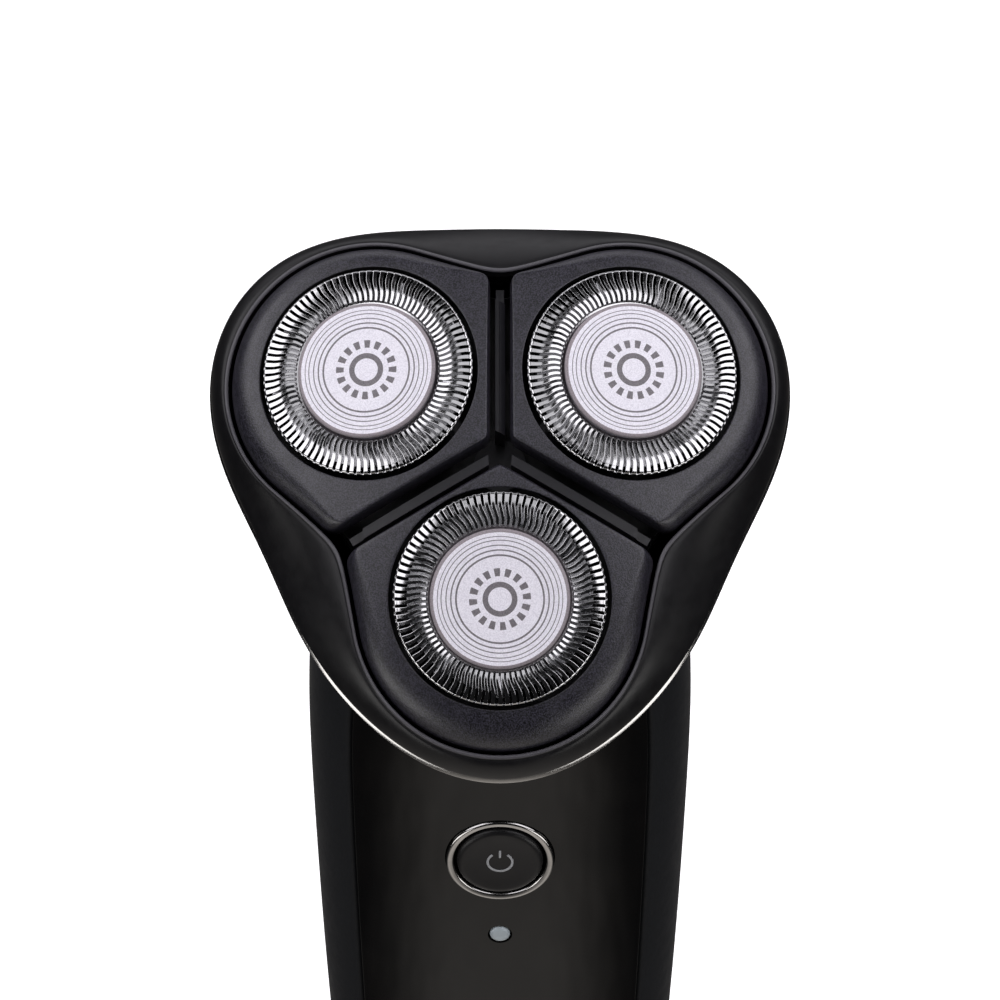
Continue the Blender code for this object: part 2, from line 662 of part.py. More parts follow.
def make_drive(head):
    """Motor, pinion, and for each unit a gear, a spindle and its spring."""
    for side, angle in UNIT_ANGLES.items():
        lobe = lobe_matrix(angle) @ Matrix.Translation((GEAR_CENTRE, 0, 0))
        start = math.pi + math.pi / GEAR_TEETH
        prism("gear_" + side, gear_outline(GEAR_TEETH, MODULE, start), GEAR_BOTTOM, GEAR_TOP, lobe,
              "white_plastic")
        profile = [(SPINDLE_RADIUS, GEAR_TOP + 0.3), (SPINDLE_RADIUS, -9.4), (2.4, -9.4), (2.4, -8.6),
                   (SPINDLE_RADIUS, -8.6), (1.5, -4.8), (1.0, SPINDLE_TIP)]
        turned("spindle_" + side, profile, lobe, "white_plastic", 10)
        make_spring("spindle_spring_" + side, lobe)
    start = math.radians(UNIT_ANGLES["right"])
    prism("drive_pinion", gear_outline(PINION_TEETH, MODULE, start), GEAR_BOTTOM, GEAR_TOP, head, "brass")
    turned("motor_shaft", [(1.0, -20.8), (1.0, GEAR_BOTTOM - 0.3)], head, "motor_steel", 12)
    can = [(1.4, -21.2), (1.4, MOTOR_TOP), (3.0, MOTOR_TOP), (3.0, MOTOR_TOP - 0.8),
           (MOTOR_RADIUS - 0.4, MOTOR_TOP - 0.8), (MOTOR_RADIUS, MOTOR_TOP - 1.3),
           (MOTOR_RADIUS, MOTOR_BOTTOM + 0.6), (MOTOR_RADIUS - 0.6, MOTOR_BOTTOM)]
    turned("motor", can, head, "motor_steel", 24)


def make_gearbox(head):
    """The cover above the gears and the plate below them, with holes for the shafts."""
    cover = prism("gearbox_cover", plate_outline(BOX_LOBE, BOX_VALLEY, COVER_BOTTOM), COVER_BOTTOM, COVER_TOP,
                  head, "satin_black")
    base = prism("gearbox_plate", plate_outline(BOX_LOBE, BOX_VALLEY, BASE_BOTTOM), BASE_BOTTOM, BASE_TOP,
                 head, "satin_black")
    screw = [(1.2, COVER_TOP + 0.3), (1.6, COVER_TOP + 0.5), (1.6, COVER_TOP + 0.9), (1.1, COVER_TOP + 0.8)]
    names = {"left": "front_left", "right": "back", "front": "front_right"}
    for side, angle in UNIT_ANGLES.items():
        rim = [(x, y) for x, y, _ in circle(2.8, 0, 16, (GEAR_CENTRE, 0))]
        cut(cover, prism("guide_cover_" + side, rim, COVER_BOTTOM - 1, COVER_TOP + 1, lobe_matrix(angle),
                         "satin_black"))
        turned("gearbox_screw_" + names[side], screw, lobe_matrix(angle + 60.0), "motor_steel", 12,
               centre=(SCREW_CENTRE, 0))
    cut(base, prism("guide_base", [(x, y) for x, y, _ in circle(3.4, 0, 20)], BASE_BOTTOM - 1, BASE_TOP + 1,
                    head, "satin_black"))


# ---- handle ------------------------------------------------------------------------------
def section_at(share):
    """Section of the handle at a share of its length, by Catmull-Rom between the stated ones."""
    place = share * (len(HANDLE) - 1)
    index = min(int(place), len(HANDLE) - 2)
    t = place - index
    rows = [HANDLE[max(0, min(len(HANDLE) - 1, index + k))] for k in (-1, 0, 1, 2)]
    values = []
    for a, b, c, d in zip(*rows):
        values.append(0.5 * (2 * b + (c - a) * t + (2 * a - 5 * b + 4 * c - d) * t * t
                             + (3 * b - a - 3 * c + d) * t ** 3))
    return values


def share_of_height(z):
    """Share of the handle's length at which its middle line reaches a height."""
    low, high = 0.0, 1.0
    for _ in range(40):
        middle = (low + high) / 2
        if section_at(middle)[1] < z:
            low = middle
        else:
            high = middle
    return low


def handle_point(angle, share, inset):
    """A point of the handle's surface; the oval is a little squarer than an ellipse."""
    y, z, lean, half_width, half_depth = section_at(share)
    power = 2 / 2.35
    across = (half_width - inset) * math.copysign(abs(math.cos(angle)) ** power, math.cos(angle))
    deep = (half_depth - inset) * math.copysign(abs(math.sin(angle)) ** power, math.sin(angle))
    lean = math.radians(lean)
    return (across, y + deep * math.cos(lean), z + deep * math.sin(lean))


def make_shell(name, start, end, low, high, colour, steps, levels, inset=0.0):
    """One curved wall of the handle between two angles and two shares of its length."""
    seam = SEAM / 2 / 20.0
    angles = [math.radians(start) + seam + (math.radians(end - start) - 2 * seam) * i / steps
              for i in range(steps + 1)]
    rings = []
    for k in range(levels + 1):
        share = low + (high - low) * k / levels
        outer = [handle_point(a, share, inset) for a in angles]
        inner = [handle_point(a, share, inset + SHELL_WALL) for a in reversed(angles)]
        rings.append(outer + inner)
    return loft(name, rings, world_matrix(), colour)


def cylinder_guide(name, radius, centre, low, high, count=24):
    """A guide along Y, for cutting a round hole through the front of the handle."""
    turn = Matrix.Rotation(math.radians(90.0), 4, "X")
    place = Matrix.Translation(Vector((centre[0], 0, centre[1])) * MM) @ turn @ Matrix.Scale(MM, 4)
    return prism(name, [(x, y) for x, y, _ in circle(radius, 0, count)], -high, -low, place, "satin_black")


def make_handle():
    low = share_of_height(CAP_HEIGHT + SEAM)
    high = 0.985
    front = make_shell("front_panel", *PANEL_EDGES, low, high, "gloss_black", 10, 10)
    make_shell("right_grip", PANEL_EDGES[1], 360.0 + GRIP_EDGE, low, high, "slate", 7, 10)
    make_shell("left_grip", 180.0 - GRIP_EDGE, PANEL_EDGES[0], low, high, "slate", 7, 10)
    make_shell("rear_shell", GRIP_EDGE, 180.0 - GRIP_EDGE, low, high, "satin_black", 12, 10)
    cut(front, cylinder_guide("guide_button", BEZEL_RADIUS + 0.35, (0, BUTTON_Z), -30, -10, 24))
    cut(front, cylinder_guide("guide_lens", 1.7, (0, LENS_Z), -30, -10, 12))


def make_neck_seal(head):
    rings = [head_ring(lambda a, i=inset: neck(a) - i, lambda a, z=z: z, 40)
             for inset, z in ((3.4, -24.0), (0.6, -24.0), (0.6, -23.25), (3.4, -23.25))]
    return loft("neck_seal", rings, head, "rubber", closed=True)


def make_bottom_cap():
    """The foot of the handle: a flat floor with a rim, and a way in for the charging plug."""
    top = share_of_height(CAP_HEIGHT)
    rim = share_of_height(1.4)
    count = 40
    angles = [2 * math.pi * i / count for i in range(count)]

    def ring(inset, share, z=None):
        points = [handle_point(a, share, inset) for a in angles]
        return [(x, y, height if z is None else z) for x, y, height in points]

    rings = [ring(SHELL_WALL + 0.2, rim, 2.4), ring(SHELL_WALL, top), ring(0.0, top), ring(0.0, rim),
             ring(0.5, rim, 0.5), ring(1.5, rim, 0.0)]
    cap = loft("bottom_cap", rings, world_matrix(), "satin_black")
    x, y, width, depth = SOCKET
    guide = block("guide_socket", (x - width / 2 - 0.9, y - depth / 2 - 0.9, -2),
                  (x + width / 2 + 0.9, y + depth / 2 + 0.9, 4), world_matrix(), "satin_black")
    cut(cap, guide)


def make_charging_socket():
    """The charging inlet: a walled cup that opens downwards, with two contact pins inside."""
    x, y, width, depth = SOCKET
    outer = (width / 2 + 0.6, depth / 2 + 0.6)
    inner = (width / 2, depth / 2)

    def ring(half, z):
        return [(x + half[0] * a, y + half[1] * b, z) for a, b in ((-1, -1), (1, -1), (1, 1), (-1, 1))]

    rings = [ring(outer, 10.5), ring(outer, 0.4), ring(inner, 0.4), ring(inner, 9.5)]
    loft("charging_socket", rings, world_matrix(), "satin_black")
    for name, shift in (("left", -2.0), ("right", 2.0)):
        turned("charging_pin_" + name, [(0.7, 9.2), (0.7, 5.4), (0.4, 5.0)], world_matrix(), "brass", 10,
               centre=(x + shift, y))


def make_button():
    """Power button, its bezel and the switch behind it, on the front of the handle."""
    share = share_of_height(BUTTON_Z)
    front = handle_point(math.radians(270.0), share, 0.0)[1]
    turn = Matrix.Rotation(math.radians(90.0), 4, "X")
    place = Matrix.Translation(Vector((0, front, BUTTON_Z)) * MM) @ turn @ Matrix.Scale(MM, 4)
    button = [(BUTTON_RADIUS - 0.5, -2.6), (BUTTON_RADIUS - 0.5, -2.2), (BUTTON_RADIUS, -2.2),
              (BUTTON_RADIUS, 0.25), (BUTTON_RADIUS - 0.5, 0.6), (BUTTON_RADIUS - 2.5, 0.45)]
    turned("power_button", button, place, "satin_black", 24)
    bezel = [(BUTTON_RADIUS + 0.35, -1.9), (BEZEL_RADIUS, -1.9), (BEZEL_RADIUS, 0.1),
             (BEZEL_RADIUS - 0.35, 0.4), (BUTTON_RADIUS + 0.35, 0.25)]
    turned("button_bezel", bezel, place, "chrome", 24, closed=True)
    block("power_switch", (-3, front + 4.2, BUTTON_Z - 3), (3, front + 7.6, BUTTON_Z + 3), world_matrix(),
          "satin_black", 0.3)
    lens = Matrix.Translation(Vector((0, front, LENS_Z)) * MM) @ turn @ Matrix.Scale(MM, 4)
    turned("indicator_lens", [(1.35, -2.4), (1.35, -0.1), (0.9, 0.15)], lens, "lens", 12)


def make_internals():
    """Circuit board, battery with its contacts, and the chassis that carries them."""
    block("circuit_board", (-13, -10.6, 18), (13, -9.4, 96), world_matrix(), "board_green")
    block("chassis", (-16, -8.6, 14), (16, -7.0, 100), world_matrix(), "white_plastic", 0.3)
    battery = [(6.6, 22.0), (7.0, 22.4), (7.0, 69.0), (6.4, 69.6), (2.6, 69.6), (2.6, 70.8), (2.2, 71.1)]
    turned("battery", battery, world_matrix(), "battery_wrap", 20, centre=(0, 3.0))
    block("battery_contact_bottom", (-4, -1.5, 20.6), (4, 7.5, 21.6), world_matrix(), "motor_steel")
    block("battery_contact_top", (-4, -1.5, 71.6), (4, 7.5, 72.4), world_matrix(), "motor_steel")


def clear_scene():
    for old in list(bpy.data.objects):
        bpy.data.objects.remove(old)


def main():
    clear_scene()
    head = head_frame_matrix()
    make_head_frame(head)
    make_trim(head)
    make_chamber(head)
    make_head_hinge(head)
    make_retaining_plate(head)
    make_rib_frame(head)
    for side, angle in UNIT_ANGLES.items():
        make_unit(side, angle)
    make_drive(head)
    make_gearbox(head)
    make_handle()
    make_neck_seal(head)
    make_bottom_cap()
    make_charging_socket()
    make_button()
    make_internals()


main()
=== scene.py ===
"""Looks of a rotary electric shaver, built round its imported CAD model.

Shells, cutting units and small parts are modelled here at full smoothness, on the
frames that the design uses: the head's frame (x right, u up its face, n out of it),
a lobe's frame (x towards a unit) and a unit's own frame (z out of its guard).
Lengths below are in millimetres and become metres as a mesh is made.
"""

import json
from math import acos, atan2, copysign, cos, degrees, hypot, pi, radians, sin, sqrt, tan

import bmesh
import bpy
import numpy as np
from mathutils import Matrix, Vector

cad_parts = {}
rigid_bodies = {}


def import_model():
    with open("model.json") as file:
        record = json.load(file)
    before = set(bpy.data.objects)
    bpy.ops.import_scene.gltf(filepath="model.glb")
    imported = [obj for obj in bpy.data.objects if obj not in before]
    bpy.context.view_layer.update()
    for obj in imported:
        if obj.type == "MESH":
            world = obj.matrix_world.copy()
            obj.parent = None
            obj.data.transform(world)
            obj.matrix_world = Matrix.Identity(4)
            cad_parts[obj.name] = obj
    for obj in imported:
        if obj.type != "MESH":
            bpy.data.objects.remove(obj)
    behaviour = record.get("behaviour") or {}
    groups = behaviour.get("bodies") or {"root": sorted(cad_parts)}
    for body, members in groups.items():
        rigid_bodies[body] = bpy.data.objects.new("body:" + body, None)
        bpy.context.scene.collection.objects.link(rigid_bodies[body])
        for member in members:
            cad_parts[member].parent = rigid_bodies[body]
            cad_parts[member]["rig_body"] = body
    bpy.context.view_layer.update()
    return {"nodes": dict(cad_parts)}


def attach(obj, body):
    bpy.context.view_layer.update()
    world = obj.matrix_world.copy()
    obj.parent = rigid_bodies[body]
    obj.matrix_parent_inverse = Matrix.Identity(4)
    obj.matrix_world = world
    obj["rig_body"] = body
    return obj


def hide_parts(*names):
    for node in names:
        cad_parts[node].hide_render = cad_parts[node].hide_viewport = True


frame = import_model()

MM = 0.001

# ---- head ----
HEAD_TILT = 40.0
HEAD_CENTRE = (0.0, -22.0, 144.0)
UNIT_RADIUS = 18.3
UNIT_ANGLES = {"left": 150.0, "right": 30.0, "front": 270.0}
UNIT_TILT = 11.0
DOME_RADIUS = 96.0
GIRTH = [(0, 28.8), (15.2, 28.3), (26.7, 24.8), (34.2, 14.8), (35.3, 8.8), (32.6, -2.9),
         (25.3, -18.7), (15.6, -32.0), (8.3, -37.3), (0, -38.9)]
GIRTH_HARMONICS = 9
GIRTH_N = -8.8
OPENING_LOBE = 17.0
FRONT_LOBE = 17.3
FRONT_LOBE_FADE = (75.0, 45.0)
OPENING_DROP = 0.7
FLANK_BULGE = 0.3
OPENING_VALLEY = 21.7
VALLEY_EASE = radians(5.5)
POD_GAP = 0.4
CHANNEL_HALF = 1.2
RIDGE_WIDTH = 0.75
RIDGE_SINK = 1.0
LIP = 0.3
FRAME_BOTTOM = -9.5
TRIM_TOP, TRIM_BOTTOM = -9.8, -11.2
TRIM_DEPTH = 2.2
CHAMBER_TOP = -11.5
CHAMBER_WALL = 1.6
NECK_N = -22.9
CHAMBER_FLOOR = 1.6
NECK_HOLE = 9.5
NOTCH_HALF = 8.0
HINGE_U, HINGE_N = 27.6, -12.9
RIB_HALF = 0.62
RIB_REACH = 19.0
RIB_SINK = 2.3
RIB_DROP = 0.55
LATCH = ((-3.5, -34.5, -13.4), (3.5, -33.0, -12.0))

# ---- cutting unit ----
FACE_ARC = 14.25
FACE_ARC_HALF = 69.8
FACE_EDGE = {"left": 14.3, "right": 14.3, "front": 13.75}
FACE_EDGE_NORMAL = 150.0
FACE_DROP = 2.4
POD_HOLE = 13.3
POD_THICK = 1.2
POD_SKIRT = 4.6
POD_WALL = 0.55
GUARD_RADIUS = 12.8
GUARD_INNER = 8.7
GUARD_TOP = 1.0
GUARD_BOTTOM = -4.4
SLOTS = 90
TRACK_CROWN = 0.24
DISC_RADIUS = 8.4
CUTTER_BLADES = 9
GEAR_CENTRE = 17.6

# ---- handle ----
HANDLE = [(0.0, 0.0, 0.0, 21.6, 16.2), (0.0, 30.0, 0.0, 23.4, 17.9), (0.0, 60.0, 0.0, 24.5, 18.9),
          (0.0, 85.0, 0.0, 24.9, 19.3), (-0.7, 102.0, 12.0, 23.9, 19.2), (-3.4, 115.0, 27.0, 22.0, 19.0),
          (-6.0, 124.9, 40.0, 20.4, 18.8)]
SQUARENESS = 2.35
SHELL_WALL = 2.0
CAP_HEIGHT = 7.0
SEAM = 0.35
PANEL_EDGES = (222.0, 318.0)
GRIP_EDGE = 24.0
BUTTON_Z = 72.0
BUTTON_RADIUS = 5.6
BEZEL_RADIUS = 7.0
LENS_Z = 58.0
SOCKET = (0.0, -5.0, 8.6, 5.6)


# ---- frames ----
STILL = Matrix.Identity(4)


def head_place():
    """The head's frame as a rigid placing in metres."""
    return Matrix.Translation(Vector(HEAD_CENTRE) * MM) @ Matrix.Rotation(radians(HEAD_TILT), 4, "X")


def lobe_place(angle, out=0.0):
    """The head's frame turned towards a unit and moved out along it."""
    turn = Matrix.Rotation(radians(angle), 4, "Z")
    return head_place() @ turn @ Matrix.Translation((out * MM, 0, 0))


def unit_place(angle):
    return lobe_place(angle, UNIT_RADIUS) @ Matrix.Rotation(radians(UNIT_TILT), 4, "Y")


# ---- materials ----
NOISE_SPAN = (0.3, 0.7)    # the middle of a noise's range


def add_node(tree, kind, *values, **settings):
    """A new node's first output; its inputs take the values, numbers or links, in turn."""
    made = tree.nodes.new("ShaderNode" + kind)
    for key, setting in settings.items():
        setattr(made, key, setting)
    for socket, value in zip(made.inputs, values):
        if isinstance(value, bpy.types.NodeSocket):
            tree.links.new(value, socket)
        else:
            socket.default_value = value
    return made.outputs[0]


def new_material(name, colour, roughness, metallic=0.0, **sockets):
    """A Principled material; sockets are named with _ for a space."""
    made = bpy.data.materials.new(name)
    made.use_nodes = True
    shader = made.node_tree.nodes["Principled BSDF"]
    shader.inputs["Base Color"].default_value = (*colour, 1.0)
    shader.inputs["Roughness"].default_value = roughness
    shader.inputs["Metallic"].default_value = metallic
    for key, value in sockets.items():
        shader.inputs[key.replace("_", " ")].default_value = value
    made.diffuse_color = (*colour, 1.0)
    return made


def noise(material, size_mm, detail=2.0, stretch=(1, 1, 1)):
    """A noise of this grain size, fixed to the piece; returns its value."""
    tree = material.node_tree
    where = tree.nodes.new("ShaderNodeTexCoord").outputs["Object"]
    scaled = add_node(tree, "VectorMath", where, stretch, operation="MULTIPLY")
    grain = tree.nodes.new("ShaderNodeTexNoise")
    grain.inputs["Scale"].default_value = 1000.0 / size_mm
    grain.inputs["Detail"].default_value = detail
    tree.links.new(scaled, grain.inputs["Vector"])
    return grain.outputs["Fac"]


def add_bump(material, value, strength, depth_mm):
    """Give the material a bump of this depth."""
    nodes, links = material.node_tree.nodes, material.node_tree.links
    bump = nodes.new("ShaderNodeBump")
    bump.inputs["Strength"].default_value = strength
    bump.inputs["Distance"].default_value = depth_mm * MM
    links.new(value, bump.inputs["Height"])
    links.new(bump.outputs["Normal"], nodes["Principled BSDF"].inputs["Normal"])


def vary_colour(material, value, dark, light, span=NOISE_SPAN):
    """Run the base colour from dark to light over part of the noise's range."""
    nodes, links = material.node_tree.nodes, material.node_tree.links
    ramp = nodes.new("ShaderNodeValToRGB")
    for element, position, colour in zip(ramp.color_ramp.elements, span, (dark, light)):
        element.position = position
        element.color = (*colour, 1.0)
    links.new(value, ramp.inputs["Fac"])
    links.new(ramp.outputs["Color"], nodes["Principled BSDF"].inputs["Base Color"])


def map_range(tree, value, span, result=(0.0, 1.0), kind="SMOOTHSTEP"):
    """A value's span stretched to the result and held level beyond it."""
    made = tree.nodes.new("ShaderNodeMapRange")
    made.interpolation_type = kind
    for key, number in zip(("From Min", "From Max", "To Min", "To Max"), (*span, *result)):
        made.inputs[key].default_value = number
    tree.links.new(value, made.inputs["Value"])
    return made.outputs["Result"]


def vary_roughness(material, value, low, high):
    tree = material.node_tree
    spread = map_range(tree, value, NOISE_SPAN, (low, high), "LINEAR")
    tree.links.new(spread, tree.nodes["Principled BSDF"].inputs["Roughness"])


def grained_black():
    """Spark-eroded black plastic: a fine pebbled grain with lighter specks."""
    made = new_material("pod_grain", (0.03, 0.029, 0.036), 0.34, Specular_IOR_Level=0.75)
    fine = noise(made, 0.17)
    vary_colour(made, fine, (0.0020, 0.0019, 0.0030), (0.034, 0.032, 0.046), (0.42, 0.60))
    add_bump(made, fine, 0.60, 0.05)
    vary_roughness(made, noise(made, 2.5), 0.31, 0.41)
    return made


def satin_black():
    """Moulded black plastic with a soft satin sheen."""
    made = new_material("satin_shell", (0.007, 0.0068, 0.0076), 0.34, Specular_IOR_Level=0.36)
    fine = noise(made, 0.09)
    vary_colour(made, noise(made, 3.0), (0.0060, 0.0058, 0.0066), (0.0085, 0.0082, 0.0092))
    add_bump(made, fine, 0.10, 0.012)
    vary_roughness(made, noise(made, 1.4, 4.0), 0.30, 0.39)
    return made


def gloss_black():
    """Polished black plastic with faint waves from moulding."""
    made = new_material("gloss_panel", (0.005, 0.005, 0.0052), 0.10, Specular_IOR_Level=0.3,
                        Coat_Weight=0.1, Coat_Roughness=0.05)
    add_bump(made, noise(made, 6.0, 1.0, (1.6, 1, 0.5)), 0.45, 0.4)
    vary_colour(made, noise(made, 12.0), (0.004, 0.004, 0.0042), (0.007, 0.0065, 0.0062))
    vary_roughness(made, noise(made, 1.0, 5.0), 0.07, 0.15)
    return made


def soft_slate():
    """Soft-touch coating on the grips: matt, slightly blue, with a fine tooth."""
    made = new_material("soft_grip", (0.005, 0.006, 0.0085), 0.62, Sheen_Weight=0.04, Sheen_Roughness=0.5,
                        Specular_IOR_Level=0.22)
    fine = noise(made, 0.12, 3.0)
    vary_colour(made, noise(made, 0.3, 3.0), (0.0025, 0.0033, 0.0048), (0.005, 0.0062, 0.0085))
    add_bump(made, fine, 0.25, 0.02)
    vary_roughness(made, noise(made, 2.0), 0.56, 0.68)
    return made


def steel(name, colour, low, high):
    """Bright pressed steel with fine drawn marks."""
    made = new_material(name, colour, low, 1.0)
    add_bump(made, noise(made, 0.10, 3.0), 0.12, 0.006)
    vary_roughness(made, noise(made, 0.5, 4.0), low, high)
    vary_colour(made, noise(made, 1.2, 4.0), tuple(c * 0.86 for c in colour), colour)
    return made


def pearl(name, dark, light, roughness=0.42):
    """Pearl lacquer with a fine metallic grain."""
    made = new_material(name, light, roughness, Specular_IOR_Level=0.55)
    fine = noise(made, 0.14)
    vary_colour(made, fine, dark, light, (0.35, 0.62))
    add_bump(made, fine, 0.10, 0.01)
    return made


def moulded(name, colour, roughness):
    """Plain moulded plastic with a light mottle."""
    made = new_material(name, colour, roughness)
    vary_colour(made, noise(made, 1.6, 4.0), tuple(c * 0.85 for c in colour), colour)
    add_bump(made, noise(made, 0.3, 3.0), 0.12, 0.02)
    vary_roughness(made, noise(made, 0.9, 3.0), roughness - 0.05, roughness + 0.06)
    return made


def board_green():
    """Lacquered circuit board with a faint weave under the lacquer."""
    made = new_material("board_lacquer", (0.02, 0.13, 0.06), 0.35)
    vary_colour(made, noise(made, 0.8, 5.0, (1, 1, 6)), (0.012, 0.09, 0.04), (0.03, 0.16, 0.08))
    add_bump(made, noise(made, 0.5), 0.2, 0.03)
    return made


MATERIALS = {
    "satin_black": satin_black(),
    "grained_black": grained_black(),
    "gloss_black": gloss_black(),
    "slate": soft_slate(),
    "steel": steel("guard_steel", (0.70, 0.70, 0.71), 0.09, 0.17),
    "blade_steel": steel("blade_steel", (0.55, 0.55, 0.57), 0.20, 0.32),
    "cap_white": pearl("disc_pearl", (0.70, 0.68, 0.75), (0.88, 0.86, 0.93)),
    "chrome": steel("trim_chrome", (0.56, 0.55, 0.54), 0.12, 0.20),
    "white_plastic": moulded("white_acetal", (0.66, 0.66, 0.64), 0.42),
    "motor_steel": steel("plated_steel", (0.55, 0.55, 0.56), 0.26, 0.38),
    "brass": steel("brass", (0.62, 0.46, 0.20), 0.24, 0.34),
    "rubber": moulded("seal_rubber", (0.018, 0.018, 0.018), 0.75),
    "board_green": board_green(),
    "battery_wrap": moulded("shrink_wrap", (0.04, 0.10, 0.26), 0.35),
    "lens": moulded("lens_glass", (0.50, 0.57, 0.61), 0.16),
}
DISC_PRINT = pearl("disc_print", (0.125, 0.115, 0.125), (0.20, 0.185, 0.20), 0.5)
DISC_EDGE = pearl("disc_edge", (0.20, 0.175, 0.19), (0.30, 0.265, 0.285), 0.4)
# a lighter grey-black for the ridge's crest: a painted highlight where the ridge catches light
RIDGE_PAINTED_HIGHLIGHT = moulded("ridge_painted_highlight", (0.085, 0.082, 0.092), 0.32)
RIB_PLASTIC = moulded("rib_plastic", (0.020, 0.0195, 0.024), 0.36)
# near-black for the inside of the pods' holes: painted shade in the recess round the guards
POD_HOLE_PAINTED_SHADE = moulded("pod_hole_painted_shade", (0.006, 0.006, 0.006), 0.5)
ICON_PRINT = moulded("icon_print", (0.42, 0.43, 0.45), 0.45)


# ---- mesh helpers ----
def band(low, high, count):
    """Faces between two rings of points, which are numbered from low and high on."""
    return [(low + i, low + (i + 1) % count, high + (i + 1) % count, high + i) for i in range(count)]


def loft(rings, closed=False):
    """Points and faces between rings of equally many points; open lofts get end caps."""
    count = len(rings[0])
    points = [tuple(p) for ring in rings for p in ring]
    faces = []
    for k in range(len(rings) if closed else len(rings) - 1):
        faces += band(k * count, (k + 1) % len(rings) * count, count)
    if not closed:
        faces.append(tuple(reversed(range(count))))
        faces.append(tuple(range((len(rings) - 1) * count, len(rings) * count)))
    return points, faces


def join(*placed):
    """Several shapes as one, each moved by its matrix."""
    points, faces = [], []
    for (part_points, part_faces), place in placed:
        start = len(points)
        points += [tuple(place @ Vector(p)) for p in part_points]
        faces += [tuple(start + i for i in face) for face in part_faces]
    return points, faces


def link_object(name, data):
    made = bpy.data.objects.new(name, data)
    bpy.context.scene.collection.objects.link(made)
    return made


def solid(name, shape, place):
    """An object from (points in mm, faces), with its faces turned outwards."""
    points, faces = shape
    mesh = bpy.data.meshes.new(name)
    mesh.from_pydata([(x * MM, y * MM, z * MM) for x, y, z in points], [], faces)
    shell = bmesh.new()
    shell.from_mesh(mesh)
    bmesh.ops.recalc_face_normals(shell, faces=shell.faces)
    shell.to_mesh(mesh)
    shell.free()
    made = link_object(name, mesh)
    made.matrix_world = place
    return made


def smooth_faces(mesh, sharp):
    """Smooth shading, except over edges sharper than this many degrees."""
    mesh.shade_smooth()
    mesh.set_sharp_from_angle(angle=radians(sharp))


def make(name, shape, place, body, stands_for=None, slot=None, materials=(), sharp=35.0, face_slots=None):
    """A finished piece that rides on its body, in its slot's material if no others are given."""
    made = solid(name, shape, place)
    mesh = made.data
    smooth_faces(mesh, sharp)
    for entry in materials or [MATERIALS[slot]]:
        mesh.materials.append(entry)
    if face_slots is not None:
        mesh.polygons.foreach_set("material_index", face_slots)
    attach(made, body)
    if stands_for:
        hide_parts(stands_for)
    return made


def round_edges(made, width, angle):
    """Bevel the edges that are sharper than an angle in degrees."""
    rounder = made.modifiers.new("ease", "BEVEL")
    rounder.width = width * MM
    rounder.segments = 2
    rounder.limit_method = "ANGLE"
    rounder.angle_limit = radians(angle)


def apply_modifiers(made, sharp=35.0):
    """Turn the piece's modifiers into its mesh."""
    bpy.context.view_layer.update()
    graph = bpy.context.evaluated_depsgraph_get()
    mesh = bpy.data.meshes.new_from_object(made.evaluated_get(graph), depsgraph=graph)
    made.modifiers.clear()
    made.data = mesh
    smooth_faces(mesh, sharp)


def carve(made, *shapes_and_places):
    """Cut closed shapes out of a piece."""
    cutters = [solid("carver", shape, place) for shape, place in shapes_and_places]
    for cutter in cutters:
        tool = made.modifiers.new("carve", "BOOLEAN")
        tool.operation = "DIFFERENCE"
        tool.solver = "EXACT"
        tool.object = cutter
    apply_modifiers(made)
    for cutter in cutters:
        bpy.data.objects.remove(cutter)


def circle(radius, z, count):
    step = 2 * pi / count
    return [(radius * cos(i * step), radius * sin(i * step), z) for i in range(count)]


def quarter(steps, first=0):
    """The sine and cosine at equal steps of a quarter turn."""
    return [(sin(pi / 2 * k / steps), cos(pi / 2 * k / steps)) for k in range(first, steps + 1)]


def turned(profile, count=96, closed=False):
    """A shape of revolution from a (radius, height) profile."""
    return loft([circle(radius, z, count) for radius, z in profile], closed)


def bend(first, corner, last, steps):
    """Points on the curve that leaves first towards the corner and ends in last."""
    return [tuple(first * (1 - t) ** 2 + corner * 2 * t * (1 - t) + last * t ** 2)
            for t in (k / steps for k in range(steps + 1))]


def fillet(points, radius, steps=4, loop=False):
    """Round the corners of a flat outline; radius is one length or one for each point."""
    count = len(points)
    radii = radius if isinstance(radius, (list, tuple)) else [radius] * count
    rounded = []
    for i, point in enumerate(points):
        if not loop and i in (0, count - 1) or radii[i] <= 0:
            rounded.append(tuple(point))
            continue
        corner = Vector(point)
        before, after = Vector(points[i - 1]) - corner, Vector(points[(i + 1) % count]) - corner
        reach = min(radii[i], before.length * 0.48, after.length * 0.48)
        first, last = (corner + side.normalized() * reach for side in (before, after))
        rounded += bend(first, corner, last, steps)
    return rounded


def rounded_block(low, high, radius, steps=3):
    """A rectangular block with rounded vertical corners and eased top and bottom edges."""
    def ring(inset, z):
        x0, y0, x1, y1 = low[0] + inset, low[1] + inset, high[0] - inset, high[1] - inset
        corners = [(x0, y0), (x1, y0), (x1, y1), (x0, y1)]
        flat = fillet(corners, max(radius - inset, 0.02), steps, loop=True)
        return [(x, y, z) for x, y in flat]

    ease = min(radius, (high[2] - low[2]) * 0.4)
    rings = [ring(ease * (1 - s), low[2] + ease * (1 - c)) for s, c in quarter(steps)]
    rings += [ring(ease * (1 - c), high[2] - ease * (1 - s)) for s, c in quarter(steps)]
    return loft(rings)


def block_shape(low, high):
    """A rectangular block with sharp edges."""
    (x0, y0, z0), (x1, y1, z1) = low, high
    return loft([[(x0, y0, z), (x1, y0, z), (x1, y1, z), (x0, y1, z)] for z in (z0, z1)])


